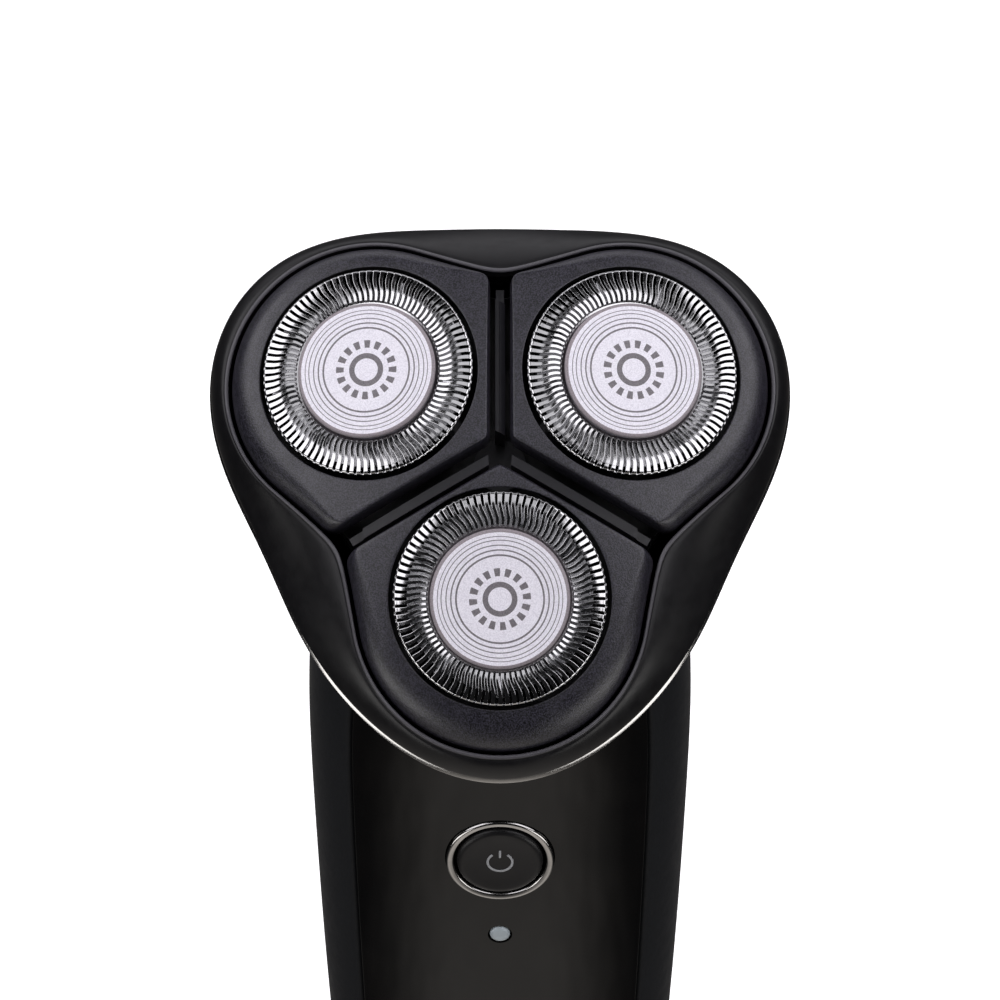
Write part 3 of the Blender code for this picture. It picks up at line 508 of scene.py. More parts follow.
def refine(node, ease):
    """A copy of a black CAD node with its edges eased, which stands for it."""
    source = frame["nodes"][node]
    shell = bmesh.new()
    shell.from_mesh(source.data)
    bmesh.ops.remove_doubles(shell, verts=shell.verts, dist=1e-6)
    mesh = bpy.data.meshes.new(node + "_fine")
    shell.to_mesh(mesh)
    shell.free()
    made = link_object(node + "_fine", mesh)
    mesh.materials.clear()
    mesh.materials.append(MATERIALS["satin_black"])
    mesh.polygons.foreach_set("material_index", [0] * len(mesh.polygons))
    round_edges(made, ease, 28.0)
    apply_modifiers(made)
    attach(made, source["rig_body"])
    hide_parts(node)


# ---- curves ----
def clamp(value):
    return min(1.0, max(0.0, value))


def smooth_step(t):
    return t * t * (3 - 2 * t)


def smooth_min(a, b, width):
    share = clamp(0.5 + 0.5 * (b - a) / width)
    return b + (a - b) * share - width * share * (1 - share)


def bisect(low, high, before):
    """The place between low and high where before() stops being true."""
    for _ in range(40):
        middle = (low + high) / 2
        if before(middle):
            low = middle
        else:
            high = middle
    return low


# ---- the head's outlines ----
def fit_girth():
    terms = [[cos(k * atan2(x, u)) for k in range(GIRTH_HARMONICS)] for x, u in GIRTH]
    return np.linalg.lstsq(terms, [hypot(x, u) for x, u in GIRTH], rcond=None)[0]


GIRTH_SERIES = fit_girth()


def girth(angle):
    """Radius of the head's widest outline."""
    from_back = angle - pi / 2
    return float(sum(c * cos(k * from_back) for k, c in enumerate(GIRTH_SERIES)))


def clover(angle, lobe, valley):
    """Three arcs round the units, joined by tangent lines with an eased corner."""
    away = min(abs((angle - radians(a) + pi) % (2 * pi) - pi) for a in UNIT_ANGLES.values())
    between = radians(60.0)
    away = between - hypot(between - away, VALLEY_EASE)
    along = UNIT_RADIUS - valley * cos(between)
    aside = valley * sin(between)
    normal = acos(-lobe / hypot(along, aside)) - atan2(aside, along)
    touch = atan2(lobe * sin(normal), UNIT_RADIUS + lobe * cos(normal))
    if away > touch:
        return (UNIT_RADIUS * cos(normal) + lobe) / cos(away - normal)
    return UNIT_RADIUS * cos(away) + sqrt(lobe ** 2 - (UNIT_RADIUS * sin(away)) ** 2)


def lobe_radius(angle):
    """Radius of the opening's lobe nearest to an angle; the front one is the largest."""
    from_front = abs((degrees(angle) - UNIT_ANGLES["front"] + 180.0) % 360.0 - 180.0)
    far, near = FRONT_LOBE_FADE
    share = clamp((far - from_front) / (far - near))
    return OPENING_LOBE + (FRONT_LOBE - OPENING_LOBE) * smooth_step(share)


def opening(angle, inset=0.0):
    return clover(angle, lobe_radius(angle) - inset, OPENING_VALLEY - inset)


def dome(radius):
    return sqrt(DOME_RADIUS ** 2 - radius ** 2) - sqrt(DOME_RADIUS ** 2 - UNIT_RADIUS ** 2)


def ridge_height(angle):
    return dome(opening(angle)) - RIDGE_SINK


def head_ring(radius_at, height_at, count, drop=0.0):
    """Points round the head; radius and height are functions of the angle."""
    ring = []
    for i in range(count):
        angle = 2 * pi * i / count
        radius = radius_at(angle)
        ring.append((radius * cos(angle), radius * sin(angle) - drop, height_at(angle)))
    return ring


# ---- head shells ----
def flank_ring(share, ease, count):
    """A ring on the frame's flank, from the ridge (0) to the widest outline (1)."""
    turn = share * pi / 2
    across = (1 - FLANK_BULGE) * share + FLANK_BULGE * sin(turn)
    down = (1 - FLANK_BULGE) * share + FLANK_BULGE * (1 - cos(turn))

    def radius(angle):
        start = opening(angle) + RIDGE_WIDTH
        return start + (girth(angle) - start) * across

    def height(angle):
        top = ridge_height(angle) - 0.1
        return top + (GIRTH_N - top) * down - ease

    return head_ring(radius, height, count, OPENING_DROP * (1 - across))


def make_head_frame(count=300):
    """The black shell round the pods, with a fine ridge along its opening; the ridge's crest is painted
    lighter than the shell, a painted highlight.
    """
    def ring(radius_at, height_at):
        return head_ring(radius_at, height_at, count, OPENING_DROP)

    rings = [ring(lambda a: opening(a) + 0.9, lambda a: FRAME_BOTTOM),
             ring(opening, lambda a: FRAME_BOTTOM + 0.6),
             ring(opening, lambda a: ridge_height(a) - 2.2),
             ring(lambda a: opening(a) - LIP * max(0.0, sin(a)), lambda a: ridge_height(a) - 0.95)]
    first_crest = len(rings) + 2
    crest = [(0.0, -0.45), (0.02, -0.28), (0.08, -0.13), (0.18, -0.04), (0.32, 0.0), (0.46, -0.03),
             (0.57, -0.14), (0.63, -0.27), (0.70, -0.32)]
    rings += [ring(lambda a: opening(a) + across, lambda a: ridge_height(a) + up) for across, up in crest]
    for k in range(15):
        share = 0.015 + 0.985 * k / 14
        rings.append(flank_ring(share, 0.22 * (1 - share) ** 6, count))
    rings += [head_ring(lambda a: girth(a) - 0.45 * (1 - c),
                        lambda a: GIRTH_N + (FRAME_BOTTOM - GIRTH_N) * s, count) for s, c in quarter(4, 1)]
    # the four crest rings take the lighter material, a painted highlight along the ridge
    slots = [int(first_crest <= k < first_crest + 4) for k in range(len(rings)) for _ in range(count)]
    make("head_shell", loft(rings, closed=True), head_place(), "shaving_head", "head_frame", "satin_black",
         [MATERIALS["satin_black"], RIDGE_PAINTED_HIGHLIGHT], face_slots=slots)


def make_trim(count=300):
    """The bright line along the head's lower edge."""
    middle = (TRIM_TOP + TRIM_BOTTOM) / 2
    corners = [(-TRIM_DEPTH, middle), (-0.25, TRIM_TOP), (0.28, TRIM_TOP - 0.5), (0.0, TRIM_BOTTOM)]
    profile = fillet(corners, [0.2, 0.1, 0.08, 0.1], 4, loop=True)
    rings = [head_ring(lambda a: girth(a) + across, lambda a: n, count) for across, n in profile]
    make("trim_line", loft(rings, closed=True), head_place(), "shaving_head", "chrome_trim", "chrome")


def neck(angle):
    half_width, half_depth = HANDLE[-1][3:]
    return 1 / hypot(cos(angle) / half_width, sin(angle) / half_depth)


def chamber_radius(angle, share, inset=0.0):
    blend = share ** 1.8
    return (girth(angle) - 0.5) * (1 - blend) + neck(angle) * blend - inset


def make_chamber(count=240):
    """The bowl under the head, with a finger notch in front and room for the hinge behind."""
    depth = NECK_N - CHAMBER_TOP

    def wall(share, inset=0.0):
        height = CHAMBER_TOP + depth * share
        return head_ring(lambda a: chamber_radius(a, share, inset), lambda a: height, count)

    rings = [head_ring(lambda a: chamber_radius(a, 0.0) - 0.25, lambda a: CHAMBER_TOP, count)]
    rings += [wall(0.02 + 0.98 * k / 12) for k in range(13)]
    rings += [circle(NECK_HOLE, n, count) for n in (NECK_N, NECK_N + CHAMBER_FLOOR)]
    inside = (0.86, 0.8, 0.65, 0.5, 0.35, 0.2, 0.1, 0.0)
    rings += [wall(share, CHAMBER_WALL + 0.6 * share) for share in inside]
    bowl = make("chamber_bowl", loft(rings, closed=True), head_place(), "handle", "hair_chamber",
                "satin_black")
    front = -girth(radians(270.0))
    notch = block_shape((-NOTCH_HALF, front - 3, CHAMBER_TOP - 0.9),
                        (NOTCH_HALF, front + 1.4, CHAMBER_TOP + 1))
    recess = block_shape((-6.4, HINGE_U - 1.9, HINGE_N - 1.9), (6.4, HINGE_U + 4, 0))
    carve(bowl, (notch, head_place()), (recess, head_place()))


def rib_arm(profile, first, last, slant, sink, steps=24):
    """One arm of the rib along +x; its ends are cut on a slant."""
    rings = []
    for k in range(steps + 1):
        ring = []
        for y, z in profile:
            start, end = first + slant * y, last + slant * y
            along = start + (end - start) * k / steps
            top = dome(along) - RIB_SINK - sink
            ring.append((along, y, top + z if z > -5 else z))
        rings.append(ring)
    return loft(rings)


def make_rib():
    """The three-armed rib in the channels: planks with cut ends, each on a lower ledge."""
    half = RIB_HALF
    slope = [(-half, -9.9), (-half, -0.34), (-half + 0.06, -0.26), (-0.06, -0.02), (0.03, 0.0),
             (0.10, -0.09), (half - 0.06, -0.13), (half, -0.2), (half, -9.9)]
    plank = [(-half, -9.9), (-half, -0.10), (-half + 0.07, -0.02), (half - 0.07, 0.0), (half, -0.08),
             (half, -9.9)]
    ledge = [(-0.55, -9.9), (-0.55, -0.08), (-0.47, 0.0), (0.47, 0.0), (0.55, -0.08), (0.55, -9.9)]
    drop = Matrix.Translation((0, -RIB_DROP, 0))
    parts = []
    for angle, profile, start, slant in ((90.0, slope, 2.5, 0.5), (210.0, plank, 1.6, 0.45),
                                         (330.0, plank, 1.6, -0.45)):
        place = drop @ Matrix.Rotation(radians(angle), 4, "Z")
        parts.append((rib_arm(profile, start, RIB_REACH, slant, 0.0), place))
        parts.append((rib_arm(ledge, RIB_REACH - 0.3, RIB_REACH + 1.7, 0.0, 1.3, 3), place))
    parts.append((loft([circle(3.2, -10.7, 36), circle(3.2, -9.7, 36)]), drop))
    make("channel_rib", join(*parts), head_place(), "shaving_head", "rib_frame", "satin_black",
         [RIB_PLASTIC])


# ---- cutting unit ----
def eased_corner(before, corner, after, reach, steps):
    corner = Vector(corner)
    first, last = (corner + (Vector(end) - corner).normalized() * reach for end in (before, after))
    return bend(first, corner, last, steps)


def pod_skirt(side, arc_steps=72, side_steps=16):
    """Outline of a pod in the unit's lobe frame, anticlockwise from its inner corner."""
    half = CHANNEL_HALF
    if side == "front":
        half += OPENING_DROP * cos(radians(30.0))
    ahead = radians(UNIT_ANGLES[side])
    turn = Matrix.Rotation(-ahead, 2)
    slant = radians(60.0)

    def edge(angle):
        radius = opening(ahead + angle, POD_GAP)
        place = Vector((radius * cos(ahead + angle), radius * sin(ahead + angle) - OPENING_DROP))
        return turn @ place

    def channel_end(sign):
        def clear(angle):
            x, y = edge(sign * angle)
            return x * sin(slant) - sign * y * cos(slant) > half

        return sign * bisect(0.0, radians(68.0), clear)

    first, last = channel_end(-1), channel_end(1)
    arc = [edge(first + (last - first) * i / arc_steps) for i in range(arc_steps + 1)]
    reach = 1.7
    low, high = arc[0], arc[-1]
    body = [p for p in arc if (p - low).length > reach and (p - high).length > reach]
    inner = Vector((half / sin(slant), 0.0))
    shares = [0.06 + 0.84 * k / side_steps for k in range(1, side_steps)]
    outline = eased_corner(high, inner, low, 1.0, 8) + [tuple(inner.lerp(low, share)) for share in shares]
    outline += eased_corner(inner, low, arc[3], reach, 10) + [tuple(p) for p in body]
    outline += eased_corner(arc[-4], high, inner, reach, 10)
    outline += [tuple(inner.lerp(high, share)) for share in reversed(shares)]
    return [(x - UNIT_RADIUS, y) for x, y in outline]


def face_radius(side, angle):
    away = abs(degrees(angle))
    if away <= FACE_ARC_HALF:
        return FACE_ARC
    shoulder = FACE_ARC / max(0.2, cos(radians(away - FACE_ARC_HALF)))
    edge = FACE_EDGE[side] / max(0.2, cos(radians(away - FACE_EDGE_NORMAL)))
    return smooth_min(shoulder, edge, 1.2)


def crown(radius):
    """How far the pod's face has curved down from its plane, which it meets at the hole."""
    return (radius ** 2 - POD_HOLE ** 2) / (2 * DOME_RADIUS)


def on_face(radius, angle, depth=0.0):
    lean = radians(UNIT_TILT)
    depth += crown(radius)
    x = radius * cos(angle)
    return (x * cos(lean) - depth * sin(lean), radius * sin(angle), -x * sin(lean) - depth * cos(lean))


def make_pod(side, angle):
    """The cover round one guard: a crowned grained face with steep shoulders and a lipped hole, whose inside
    is painted near-black as painted shade.
    """
    skirt = pod_skirt(side)
    slope = tan(radians(UNIT_TILT))
    angles = [atan2(y, x) for x, y in skirt]
    count = len(skirt)

    def wall(inset, drop):
        ring = []
        for x, y in skirt:
            away = hypot(x, y)
            shrink = 1 - inset / away
            ring.append((x * shrink, y * shrink, -x * slope - crown(away) - drop))
        return ring

    rings = [wall(0.15, POD_SKIRT), wall(0.0, POD_SKIRT - 0.15), wall(0.0, FACE_DROP + 0.6),
             wall(0.0, FACE_DROP)]
    for s, c in quarter(12, 1):
        ring = []
        for (x, y), phi in zip(skirt, angles):
            inner = Vector(on_face(face_radius(side, phi), phi))
            outer = Vector((x, y, -x * slope - crown(hypot(x, y))))
            point = outer.lerp(inner, 1 - c)
            point.z -= FACE_DROP * (1 - s)
            ring.append(tuple(point))
        rings.append(ring)
    lip = 0.12
    hole = POD_HOLE + 0.06
    for share in (0.12, 0.5, 0.9):
        rings.append([on_face(face_radius(side, phi) + (hole + lip - face_radius(side, phi)) * share, phi)
                      for phi in angles])
    for s, c in quarter(4):
        rings.append([on_face(hole + lip * (1 - s), phi, lip * (1 - c)) for phi in angles])
    # the lip's inner curve and the hole's walls take the darker material: painted shade in the recess
    inside_from = len(rings) - 2
    rings.append([on_face(hole, phi, POD_THICK) for phi in angles])
    rings += [wall(POD_WALL, FACE_DROP + 0.4), wall(POD_WALL, POD_SKIRT)]
    slots = [int(k >= inside_from) for k in range(len(rings)) for _ in range(count)]
    make("pod_cover_" + side, loft(rings, closed=True), lobe_place(angle, UNIT_RADIUS),
         "unit_" + side, "pod_" + side, "grained_black", [MATERIALS["grained_black"], POD_HOLE_PAINTED_SHADE],
         face_slots=slots)


def guard_profile():
    """(radius, height) down the guard's outside, from its skirt to its middle, with the rows
    between which the slots are cut."""
    rows = [(GUARD_RADIUS, GUARD_BOTTOM), (GUARD_RADIUS, -2.0), (GUARD_RADIUS, 0.0), (GUARD_RADIUS, 0.22)]
    slot_start = len(rows)
    shoulder = GUARD_TOP - TRACK_CROWN
    rows += [(GUARD_RADIUS - 0.42 * (1 - c), shoulder - 0.4 * (1 - s)) for s, c in quarter(5)]
    outer, inner = rows[-1][0], GUARD_INNER + 0.25
    middle = (outer + inner) / 2
    half = (outer - inner) / 2
    for k in range(1, 15):
        radius = outer + (inner - outer) * k / 14
        rows.append((radius, GUARD_TOP - TRACK_CROWN * (abs(radius - middle) / half) ** 2))
    rows += [(inner - 0.22 * s, shoulder - 0.25 * (1 - c)) for s, c in quarter(4, 1)]
    slot_end = len(rows) - 1
    rows += [(GUARD_INNER - 0.02, GUARD_TOP - 0.5), (GUARD_INNER - 0.15, GUARD_TOP - 0.55),
             (GUARD_INNER - 2.5, GUARD_TOP - 0.55), (0.6, GUARD_TOP - 0.55)]
    return rows, slot_start, slot_end


def inward(radius):
    """How far in a radius is, from the guard's outside (0) to the disc (1)."""
    return clamp((GUARD_RADIUS - radius) / (GUARD_RADIUS - GUARD_INNER))


def swirl(radius):
    """How far the bars have turned, in radians, at a distance from the guard's centre."""
    t = inward(radius)
    hook = smooth_step(clamp((t - 0.30) / 0.55))
    return radians(-2.1 * hook + 0.15 * sin(2 * pi * t))


def make_guard(side, angle):
    """The steel cap: ninety curved slots run from its outer corner to the disc."""
    rows, slot_start, slot_end = guard_profile()
    columns = 6
    per_row = SLOTS * columns
    pitch = 2 * pi / SLOTS
    points = []
    for radius, z in rows:
        bar = pitch * (0.61 - 0.09 * inward(radius))
        across = [bar * (share - 0.5) for share in (0.0, 0.12, 0.5, 0.88, 1.0)] + [pitch / 2]
        for a in (i * pitch + swirl(radius) + step for i in range(SLOTS) for step in across):
            points.append((radius * cos(a), radius * sin(a), z))
    faces = []
    for k in range(len(rows) - 1):
        slotted = slot_start <= k < slot_end
        ring = band(k * per_row, (k + 1) * per_row, per_row)
        faces += [face for i, face in enumerate(ring) if not (slotted and i % columns >= 4)]
    guard = make("guard_foil_" + side, (points, faces), unit_place(angle), "float_" + side, "guard_" + side,
                 "steel")
    wall = guard.modifiers.new("wall", "SOLIDIFY")
    wall.thickness = 0.20 * MM
    wall.offset = -1.0
    round_edges(guard, 0.045, 50.0)
    apply_modifiers(guard, 40.0)


def make_disc(side, angle):
    """The pearl disc: printed rings near its edge and a ring of short dashes in the middle."""
    low = GUARD_TOP - 0.2
    top = low + 0.5
    crowning = 0.06
    lines = [(7.48, 0.045), (7.03, 0.055), (6.44, 0.065), (5.86, 0.085), (5.25, 0.11), (1.75, 0.33)]
    dash_in, dash_out = 2.75, 3.7
    radii = {0.0, DISC_RADIUS - 0.42, dash_in, dash_out, 0.7, 2.3, 3.2, 4.1, 4.6, 7.75}
    for radius, width in lines:
        radii |= {radius - width, radius + width}
    radii = sorted(radii)
    count, dashes = 240, 16
    rings = [circle(r, top + crowning * (1 - (r / DISC_RADIUS) ** 2), count) for r in radii[1:]]
    edge = [(0.30, top - 0.015), (0.12, top - 0.06), (0.03, top - 0.14), (0.0, top - 0.26), (0.0, low + 0.1),
            (0.3, low)]
    rings += [circle(DISC_RADIUS - inset, z, count) for inset, z in edge]
    points = [(0.0, 0.0, top + crowning)] + [p for ring in rings for p in ring]
    faces = [(0, 1 + i, 1 + (i + 1) % count) for i in range(count)]
    slots = [0] * count
    for k in range(len(rings) - 1):
        on_top = k < len(radii) - 2
        middle = (radii[k + 1] + radii[k + 2]) / 2 if on_top else DISC_RADIUS
        printed = on_top and any(abs(middle - radius) < width for radius, width in lines)
        dashed = dash_in < middle < dash_out
        faces += band(1 + k * count, 1 + (k + 1) * count, count)
        for i in range(count):
            on_dash = dashed and (i * dashes / count) % 1.0 < 0.5
            slots.append(1 if printed or on_dash else (0 if on_top else 2))
    faces.append(tuple(1 + (len(rings) - 1) * count + i for i in range(count)))
    slots.append(0)
    make("pearl_disc_" + side, (points, faces), unit_place(angle), "float_" + side, "cap_disc_" + side,
         "cap_white", [MATERIALS["cap_white"], DISC_PRINT, DISC_EDGE], 40.0, slots)


def make_cutter(side, angle):
    """The rotor under the guard: hub, ring and leaning blades."""
    corners = [(2.2, -1.6), (2.2, -5.0), (3.2, -5.0), (3.2, -3.4), (11.2, -3.4), (11.2, -2.2),
               (3.2, -2.2), (3.2, -0.6)]
    blade = rounded_block((9.2, -0.42, -2.8), (11.9, 0.42, 0.12), 0.08, 2)
    lean = Matrix.Rotation(radians(18.0), 4, "X")
    parts = [(turned(fillet(corners, 0.12, 2), 72), STILL)]
    for i in range(CUTTER_BLADES):
        parts.append((blade, Matrix.Rotation(2 * pi * i / CUTTER_BLADES, 4, "Z") @ lean))
    make("cutter_rotor_" + side, join(*parts), unit_place(angle), "rotor_" + side, "cutter_" + side,
         "blade_steel")


# ---- handle ----
def section_at(share):
    """A row at a share of HANDLE's length, on a smooth curve through its rows."""
    place = share * (len(HANDLE) - 1)
    index = max(0, min(int(place), len(HANDLE) - 2))
    t = place - index
    rows = [HANDLE[max(0, min(len(HANDLE) - 1, index + k))] for k in (-1, 0, 1, 2)]
    return [0.5 * (2 * b + (c - a) * t + (2 * a - 5 * b + 4 * c - d) * t * t
                   + (3 * b - a - 3 * c + d) * t ** 3) for a, b, c, d in zip(*rows)]


def share_of_height(z):
    return bisect(0.0, 1.0, lambda share: section_at(share)[1] < z)


def handle_point(angle, share, inset):
    """A point on the handle's rounded-square section, drawn in by the inset."""
    y, z, lean, half_width, half_depth = section_at(share)
    power = 2 / SQUARENESS
    across = (half_width - inset) * copysign(abs(cos(angle)) ** power, cos(angle))
    deep = (half_depth - inset) * copysign(abs(sin(angle)) ** power, sin(angle))
    lean = radians(lean)
    return (across, y + deep * cos(lean), z + deep * sin(lean))


def edge_steps(first, last, reach, count):
    """Places from first to last, with extra ones inside each end's rounding."""
    near = [0.0, 0.08, 0.29, 0.6, 1.0]
    inside = [first + reach[0] * share for share in near]
    inside += [first + reach[0] + (last - first - reach[0] - reach[1]) * k / count for k in range(1, count)]
    inside += [last - reach[1] * share for share in reversed(near)]
    return inside


def make_shell(name, start, end, low, high, material, steps, levels, node, ease=0.5):
    """A curved wall of the handle between two angles, with its outer edges rounded."""
    radius, low_length, high_length = 22.0, 180.0, 62.0    # mm for one radian or one share
    seam = SEAM / 2 / 20.0
    first, last = radians(start) + seam, radians(end) - seam
    across = edge_steps(first, last, (ease / radius, ease / radius), steps)
    along = edge_steps(low, high, (ease / low_length, ease / high_length), levels)

    def pulled_in(angle, share):
        side = min(angle - first, last - angle) * radius
        tip = min((share - low) * low_length, (high - share) * high_length)
        reach = min(ease, hypot(max(0.0, ease - side), max(0.0, ease - tip)))
        return ease - sqrt(ease ** 2 - reach ** 2)

    points, faces = [], []
    for share in along:
        points += [handle_point(a, share, pulled_in(a, share)) for a in across]
        points += [handle_point(a, share, SHELL_WALL) for a in reversed(across)]
    count, final = 2 * len(across), len(along) - 1
    for k in range(final):
        faces += band(k * count, (k + 1) * count, count)
    for row in (0, final * count):
        back = 2 * row + count - 1
        faces += [(i, i + 1, back - 1 - i, back - i) for i in range(row, row + len(across) - 1)]
    return make(name, (points, faces), STILL, "handle", node, material)


def front_place(z):
    """A frame on the front of the handle whose +z points out of it, forwards."""
    front = handle_point(radians(270.0), share_of_height(z), 0.0)[1]
    return Matrix.Translation(Vector((0, front, z)) * MM) @ Matrix.Rotation(radians(90.0), 4, "X")


def make_handle():
    low = share_of_height(CAP_HEIGHT + SEAM)
    high = 0.985
    panel = make_shell("gloss_panel", *PANEL_EDGES, low, high, "gloss_black", 44, 70, "front_panel")
    make_shell("grip_right", PANEL_EDGES[1], 360.0 + GRIP_EDGE, low, high, "slate", 30, 70, "right_grip")
    make_shell("grip_left", 180.0 - GRIP_EDGE, PANEL_EDGES[0], low, high, "slate", 30, 70, "left_grip")
    make_shell("back_shell", GRIP_EDGE, 180.0 - GRIP_EDGE, low, high, "satin_black", 60, 70, "rear_shell")
    hole = loft([circle(BEZEL_RADIUS + 0.12, z, 64) for z in (-8.0, 4.0)])
    eye = loft([circle(1.6, z, 40) for z in (-8.0, 4.0)])
    carve(panel, (hole, front_place(BUTTON_Z)), (eye, front_place(LENS_Z)))


def make_neck_seal(count=160):
    profile = fillet([(3.4, -24.0), (0.6, -24.0), (0.6, -23.25), (3.4, -23.25)], 0.2, 3, loop=True)
    rings = [head_ring(lambda a: neck(a) - inset, lambda a: n, count) for inset, n in profile]
    make("neck_gasket", loft(rings, closed=True), head_place(), "handle", "neck_seal", "rubber")


def make_bottom_cap(count=160):
    """The foot: a rounded cup with a flat underside and a way in for the charging plug."""
    angles = [2 * pi * i / count for i in range(count)]
    top, foot = share_of_height(CAP_HEIGHT), share_of_height(1.4)
    lip, heel, clearance = 0.45, 1.5, 0.85

    def ring(inset, share, z):
        return [(*handle_point(a, share, inset)[:2], z) for a in angles]

    rings = [ring(SHELL_WALL + 0.2, foot, 2.4), ring(SHELL_WALL, top, CAP_HEIGHT),
             ring(lip, top, CAP_HEIGHT)]
    rings += [ring(lip * (1 - s), top, CAP_HEIGHT - lip * (1 - c)) for s, c in quarter(4, 1)]
    rings += [ring(0.0, share_of_height(z), z) for z in (5.0, 3.0)]
    rings += [ring(heel * (1 - c), foot, heel * (1 - s)) for s, c in quarter(8)]
    cap = make("foot_cap", loft(rings), STILL, "handle", "bottom_cap", "satin_black")
    x, y, width, depth = SOCKET
    aside, ahead = width / 2 + clearance, depth / 2 + clearance
    mouth = rounded_block((x - aside, y - ahead, -2), (x + aside, y + ahead, 4), 1.2)
    carve(cap, (mouth, STILL))


def make_button():
    """The power button and its raised sign, the ring round it and the indicator."""
    place = front_place(BUTTON_Z)
    radius = BUTTON_RADIUS
    profile = [(radius - 0.5, -2.6), (radius - 0.5, -2.2), (radius, -2.2), (radius, 0.30),
               (radius - 0.55, 0.6), (radius - 2.5, 0.46), (0.4, 0.40)]
    key = turned(fillet(profile, [0, 0.1, 0.1, 0.35, 0.6, 2.0, 0], 5))
    make("power_key", key, place, "button", "power_button", "satin_black")
    rings = []
    for k in range(41):
        angle = radians(90.0 + 38.0 + (360.0 - 76.0) * k / 40)
        rings.append([(r * cos(angle), r * sin(angle), z)
                      for r, z in ((1.45, 0.38), (1.75, 0.38), (1.75, 0.50), (1.45, 0.50))])
    bar = rounded_block((-0.15, 0.75, 0.38), (0.15, 2.05, 0.50), 0.1, 2)
    sign = join(*((shape, STILL) for shape in (loft(rings), bar)))
    make("power_sign", sign, place, "button", materials=[ICON_PRINT])
    ring = [(radius + 0.35, -1.9), (BEZEL_RADIUS, -1.9), (BEZEL_RADIUS, 0.25), (BEZEL_RADIUS - 0.3, 0.42),
            (radius + 0.5, 0.30), (radius + 0.35, 0.0)]
    bezel = turned(fillet(ring, [0, 0, 0.2, 0.2, 0.15, 0], 4, loop=True), closed=True)
    make("bezel_ring", bezel, place, "handle", "button_bezel", "chrome")
    lens = fillet([(1.35, -2.4), (1.35, -0.1), (1.0, 0.12), (0.2, 0.18)], [0, 0.2, 0.4, 0], 4)
    make("pilot_lens", turned(lens, 48), front_place(LENS_Z), "handle", "indicator_lens", "lens")


# ---- inside the head ----
def spring_shape(radius, wire, low, high, turns, steps=28, sides=10):
    total = int(turns * steps)
    rings = []
    for i in range(total + 1):
        angle = 2 * pi * i / steps
        z = low + (high - low) * i / total
        rings.append([((radius + out) * cos(angle), (radius + out) * sin(angle), z + up)
                      for out, up, _ in circle(wire, 0.0, sides)])
    return loft(rings)


def make_drive(side, angle):
    place = lobe_place(angle, GEAR_CENTRE)
    profile = [(1.3, -14.2), (1.3, -9.4), (2.4, -9.4), (2.4, -8.6), (1.3, -8.6), (1.5, -4.8), (1.0, -3.9)]
    spindle = turned(fillet(profile, [0, 0.1, 0.12, 0.12, 0.1, 0.4, 0.3], 4), 48)
    make("spindle_post_" + side, spindle, place, "drive_" + side, "spindle_" + side, "white_plastic")
    make("coil_spring_" + side, spring_shape(2.05, 0.28, -13.9, -9.9, 3), place, "drive_" + side,
         "spindle_spring_" + side, "motor_steel")


def make_screw(name, angle):
    """Gearbox screw: a domed head with a cross recess."""
    place = lobe_place(angle, 16.5)
    profile = [(1.2, -12.8), (1.6, -12.6), (1.6, -12.2), (1.1, -11.95), (0.2, -11.9)]
    head = turned(fillet(profile, [0, 0.1, 0.2, 0.3, 0], 3), 48)
    screw = make(name + "_head", head, place, "handle", name, "motor_steel")
    cross = [block_shape((-x, -y, -12.3), (x, y, -11)) for x, y in ((0.95, 0.16), (0.16, 0.95))]
    carve(screw, *((slit, place) for slit in cross))


def make_open_head_parts():
    for side, angle in UNIT_ANGLES.items():
        make_drive(side, angle)
    for name, angle in (("back", 90.0), ("front_left", 210.0), ("front_right", 330.0)):
        make_screw("gearbox_screw_" + name, angle)
    latch = rounded_block(*LATCH, 0.25)
    make("latch_tongue", latch, head_place(), "shaving_head", "head_latch", "satin_black")
    for node, ease in (("retaining_plate", 0.15), ("gearbox_cover", 0.15), ("head_hinge_knuckle", 0.1),
                       ("hinge_ear_left", 0.1), ("hinge_ear_right", 0.1), ("charging_socket", 0.15)):
        refine(node, ease)
    turn = Matrix.Translation(Vector((0, HINGE_U, HINGE_N)) * MM) @ Matrix.Rotation(radians(90.0), 4, "Y")
    pin = turned(fillet([(0.3, -6.15), (0.5, -6.1), (0.5, 6.1), (0.3, 6.15)], [0, 0.1, 0.1, 0], 3), 32)
    make("pin_rod", pin, head_place() @ turn, "handle", "hinge_pin", "motor_steel")


CARRIED_OVER = {
    "white_plastic": ("gear_left", "gear_right", "gear_front", "chassis"),
    "brass": ("drive_pinion", "charging_pin_left", "charging_pin_right"),
    "motor_steel": ("motor_shaft", "motor", "battery_contact_bottom", "battery_contact_top"),
    "satin_black": ("gearbox_plate", "power_switch"),
    "board_green": ("circuit_board",),
    "battery_wrap": ("battery",),
}


def finish_carried_over():
    """CAD nodes inside the handle keep their shape and take these materials."""
    for colour, nodes in CARRIED_OVER.items():
        for node in nodes:
            for entry in frame["nodes"][node].material_slots:
                entry.material = MATERIALS[colour]


# ---- studio ----
BACKDROP, TABLE, ROOM = 0.75, 0.58, 0.008    # how bright each part of the surround is
LIGHT_DISTANCE = 0.9
VIEW_WIDTH = 0.120    # metres across the picture, at the head


def softbox(name, direction, size, power, colour, distance=LIGHT_DISTANCE):
    """A soft light that faces the head from (azimuth, elevation), unseen by the camera."""
    data = bpy.data.lights.new(name, "AREA")
    data.shape = "RECTANGLE"
    data.size, data.size_y = size
    data.energy = power
    data.color = colour
    lamp = link_object(name, data)
    azimuth, elevation = (radians(v) for v in direction)
    away = Vector((sin(azimuth) * cos(elevation), -cos(azimuth) * cos(elevation), sin(elevation)))
    lamp.location = Vector(HEAD_CENTRE) * MM + away * distance
    lamp.rotation_euler = away.to_track_quat("Z", "Y").to_euler()
    lamp.visible_camera = False
    return lamp


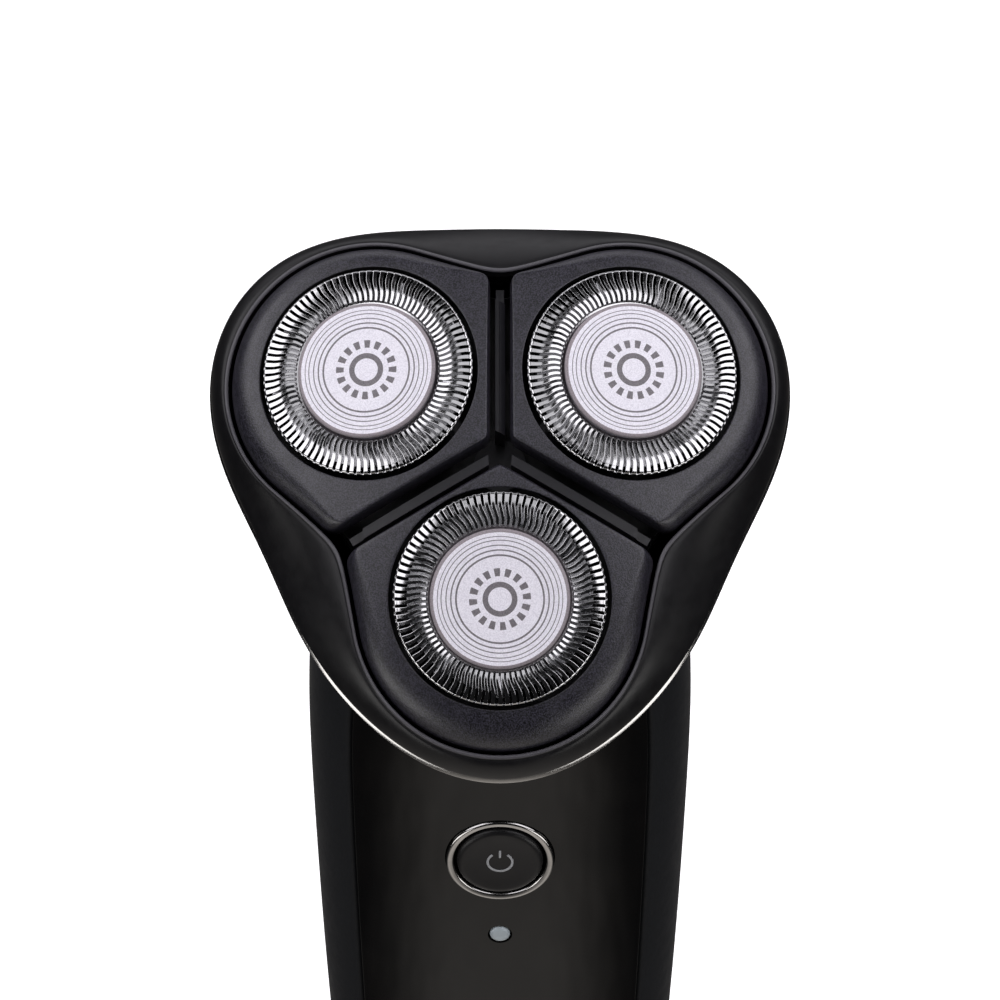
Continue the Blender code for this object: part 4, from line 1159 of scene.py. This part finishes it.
def make_surround():
    """White to the camera; the shaver is lit by a dim room, a pale backdrop behind and above it
    and a warm grey table below, which both fade towards the sides."""
    world = bpy.data.worlds.new("studio")
    bpy.context.scene.world = world
    world.use_nodes = True
    tree = world.node_tree
    tree.nodes.clear()
    split = tree.nodes.new("ShaderNodeSeparateXYZ")
    tree.links.new(tree.nodes.new("ShaderNodeTexCoord").outputs["Generated"], split.inputs[0])
    x, y, z = split.outputs

    def product(first, second):
        return add_node(tree, "Math", first, second, operation="MULTIPLY")

    aside = add_node(tree, "Math", x, operation="ABSOLUTE")
    wide, narrow = (map_range(tree, aside, span, (1.0, 0.0)) for span in ((0.50, 0.98), (0.12, 0.70)))
    behind = product(map_range(tree, y, (0.25, 0.85)), map_range(tree, z, (-0.05, 0.35)))
    below = map_range(tree, z, (-0.25, -0.80))
    backdrop = add_node(tree, "Background", (1.0, 0.985, 1.03, 1), product(product(behind, wide), BACKDROP))
    table = add_node(tree, "Background", (1.0, 0.94, 0.88, 1), product(product(below, narrow), TABLE))
    room = add_node(tree, "Background", (ROOM, ROOM, ROOM * 1.08, 1))
    lit = add_node(tree, "AddShader", add_node(tree, "AddShader", backdrop, table), room)
    to_camera = tree.nodes.new("ShaderNodeLightPath").outputs["Is Camera Ray"]
    shown = add_node(tree, "MixShader", to_camera, lit, add_node(tree, "Background", (1, 1, 1, 1)))
    tree.links.new(shown, tree.nodes.new("ShaderNodeOutputWorld").inputs["Surface"])


def make_floor():
    """A white floor for the camera only: it neither lights the shaver nor shows in it."""
    mesh = bpy.data.meshes.new("floor")
    mesh.from_pydata([(x, y, 0.0) for x, y in ((-6, -6), (6, -6), (6, 6), (-6, 6))], [], [(0, 1, 2, 3)])
    floor = link_object("floor", mesh)
    mesh.materials.append(new_material("pale_floor", (0.90, 0.90, 0.90), 0.9,
                                       Emission_Color=(1, 1, 1, 1), Emission_Strength=0.55))
    floor.visible_glossy = False
    floor.visible_diffuse = False


def make_studio():
    """Large soft boxes to both sides, weak ones low in front and two overhead."""
    make_floor()
    make_surround()
    for side, turn in (("left", -1), ("right", 1)):
        softbox(side + "_box", (turn * 76, 42), (1.45, 0.68), 5.5, (1.0, 0.98, 1.02))
        softbox(side + "_bounce", (turn * 46, -19), (0.22, 0.10), 0.16, (1.0, 0.98, 0.96), 0.30)
    softbox("top_box", (0, 70), (0.34, 0.5), 0.42, (1.0, 0.99, 1.03))
    key = softbox("key", (0, 98), (0.45, 0.45), 3.6, (1.0, 0.985, 1.02))
    key.visible_glossy = False
    bpy.context.scene.view_settings.view_transform = "Standard"


def make_camera():
    """Looks down at the face of the head from 40 degrees above the horizon."""
    target, distance, elevation = Vector(HEAD_CENTRE) * MM, 0.62, radians(40.0)
    data = bpy.data.cameras.new("camera")
    data.sensor_width = 36.0
    data.lens = data.sensor_width * distance / VIEW_WIDTH
    data.shift_y = -0.0523
    data.clip_start = 0.01
    camera = link_object("camera", data)
    camera.location = target + Vector((0, -cos(elevation), sin(elevation))) * distance
    camera.rotation_euler = (pi / 2 - elevation, 0, 0)
    bpy.context.scene.camera = camera


# ---- the model ----
make_camera()
make_studio()
make_head_frame()
make_trim()
make_chamber()
make_rib()
for side, angle in UNIT_ANGLES.items():
    make_pod(side, angle)
    make_guard(side, angle)
    make_disc(side, angle)
    make_cutter(side, angle)
make_handle()
make_neck_seal()
make_bottom_cap()
make_button()
make_open_head_parts()
finish_carried_over()
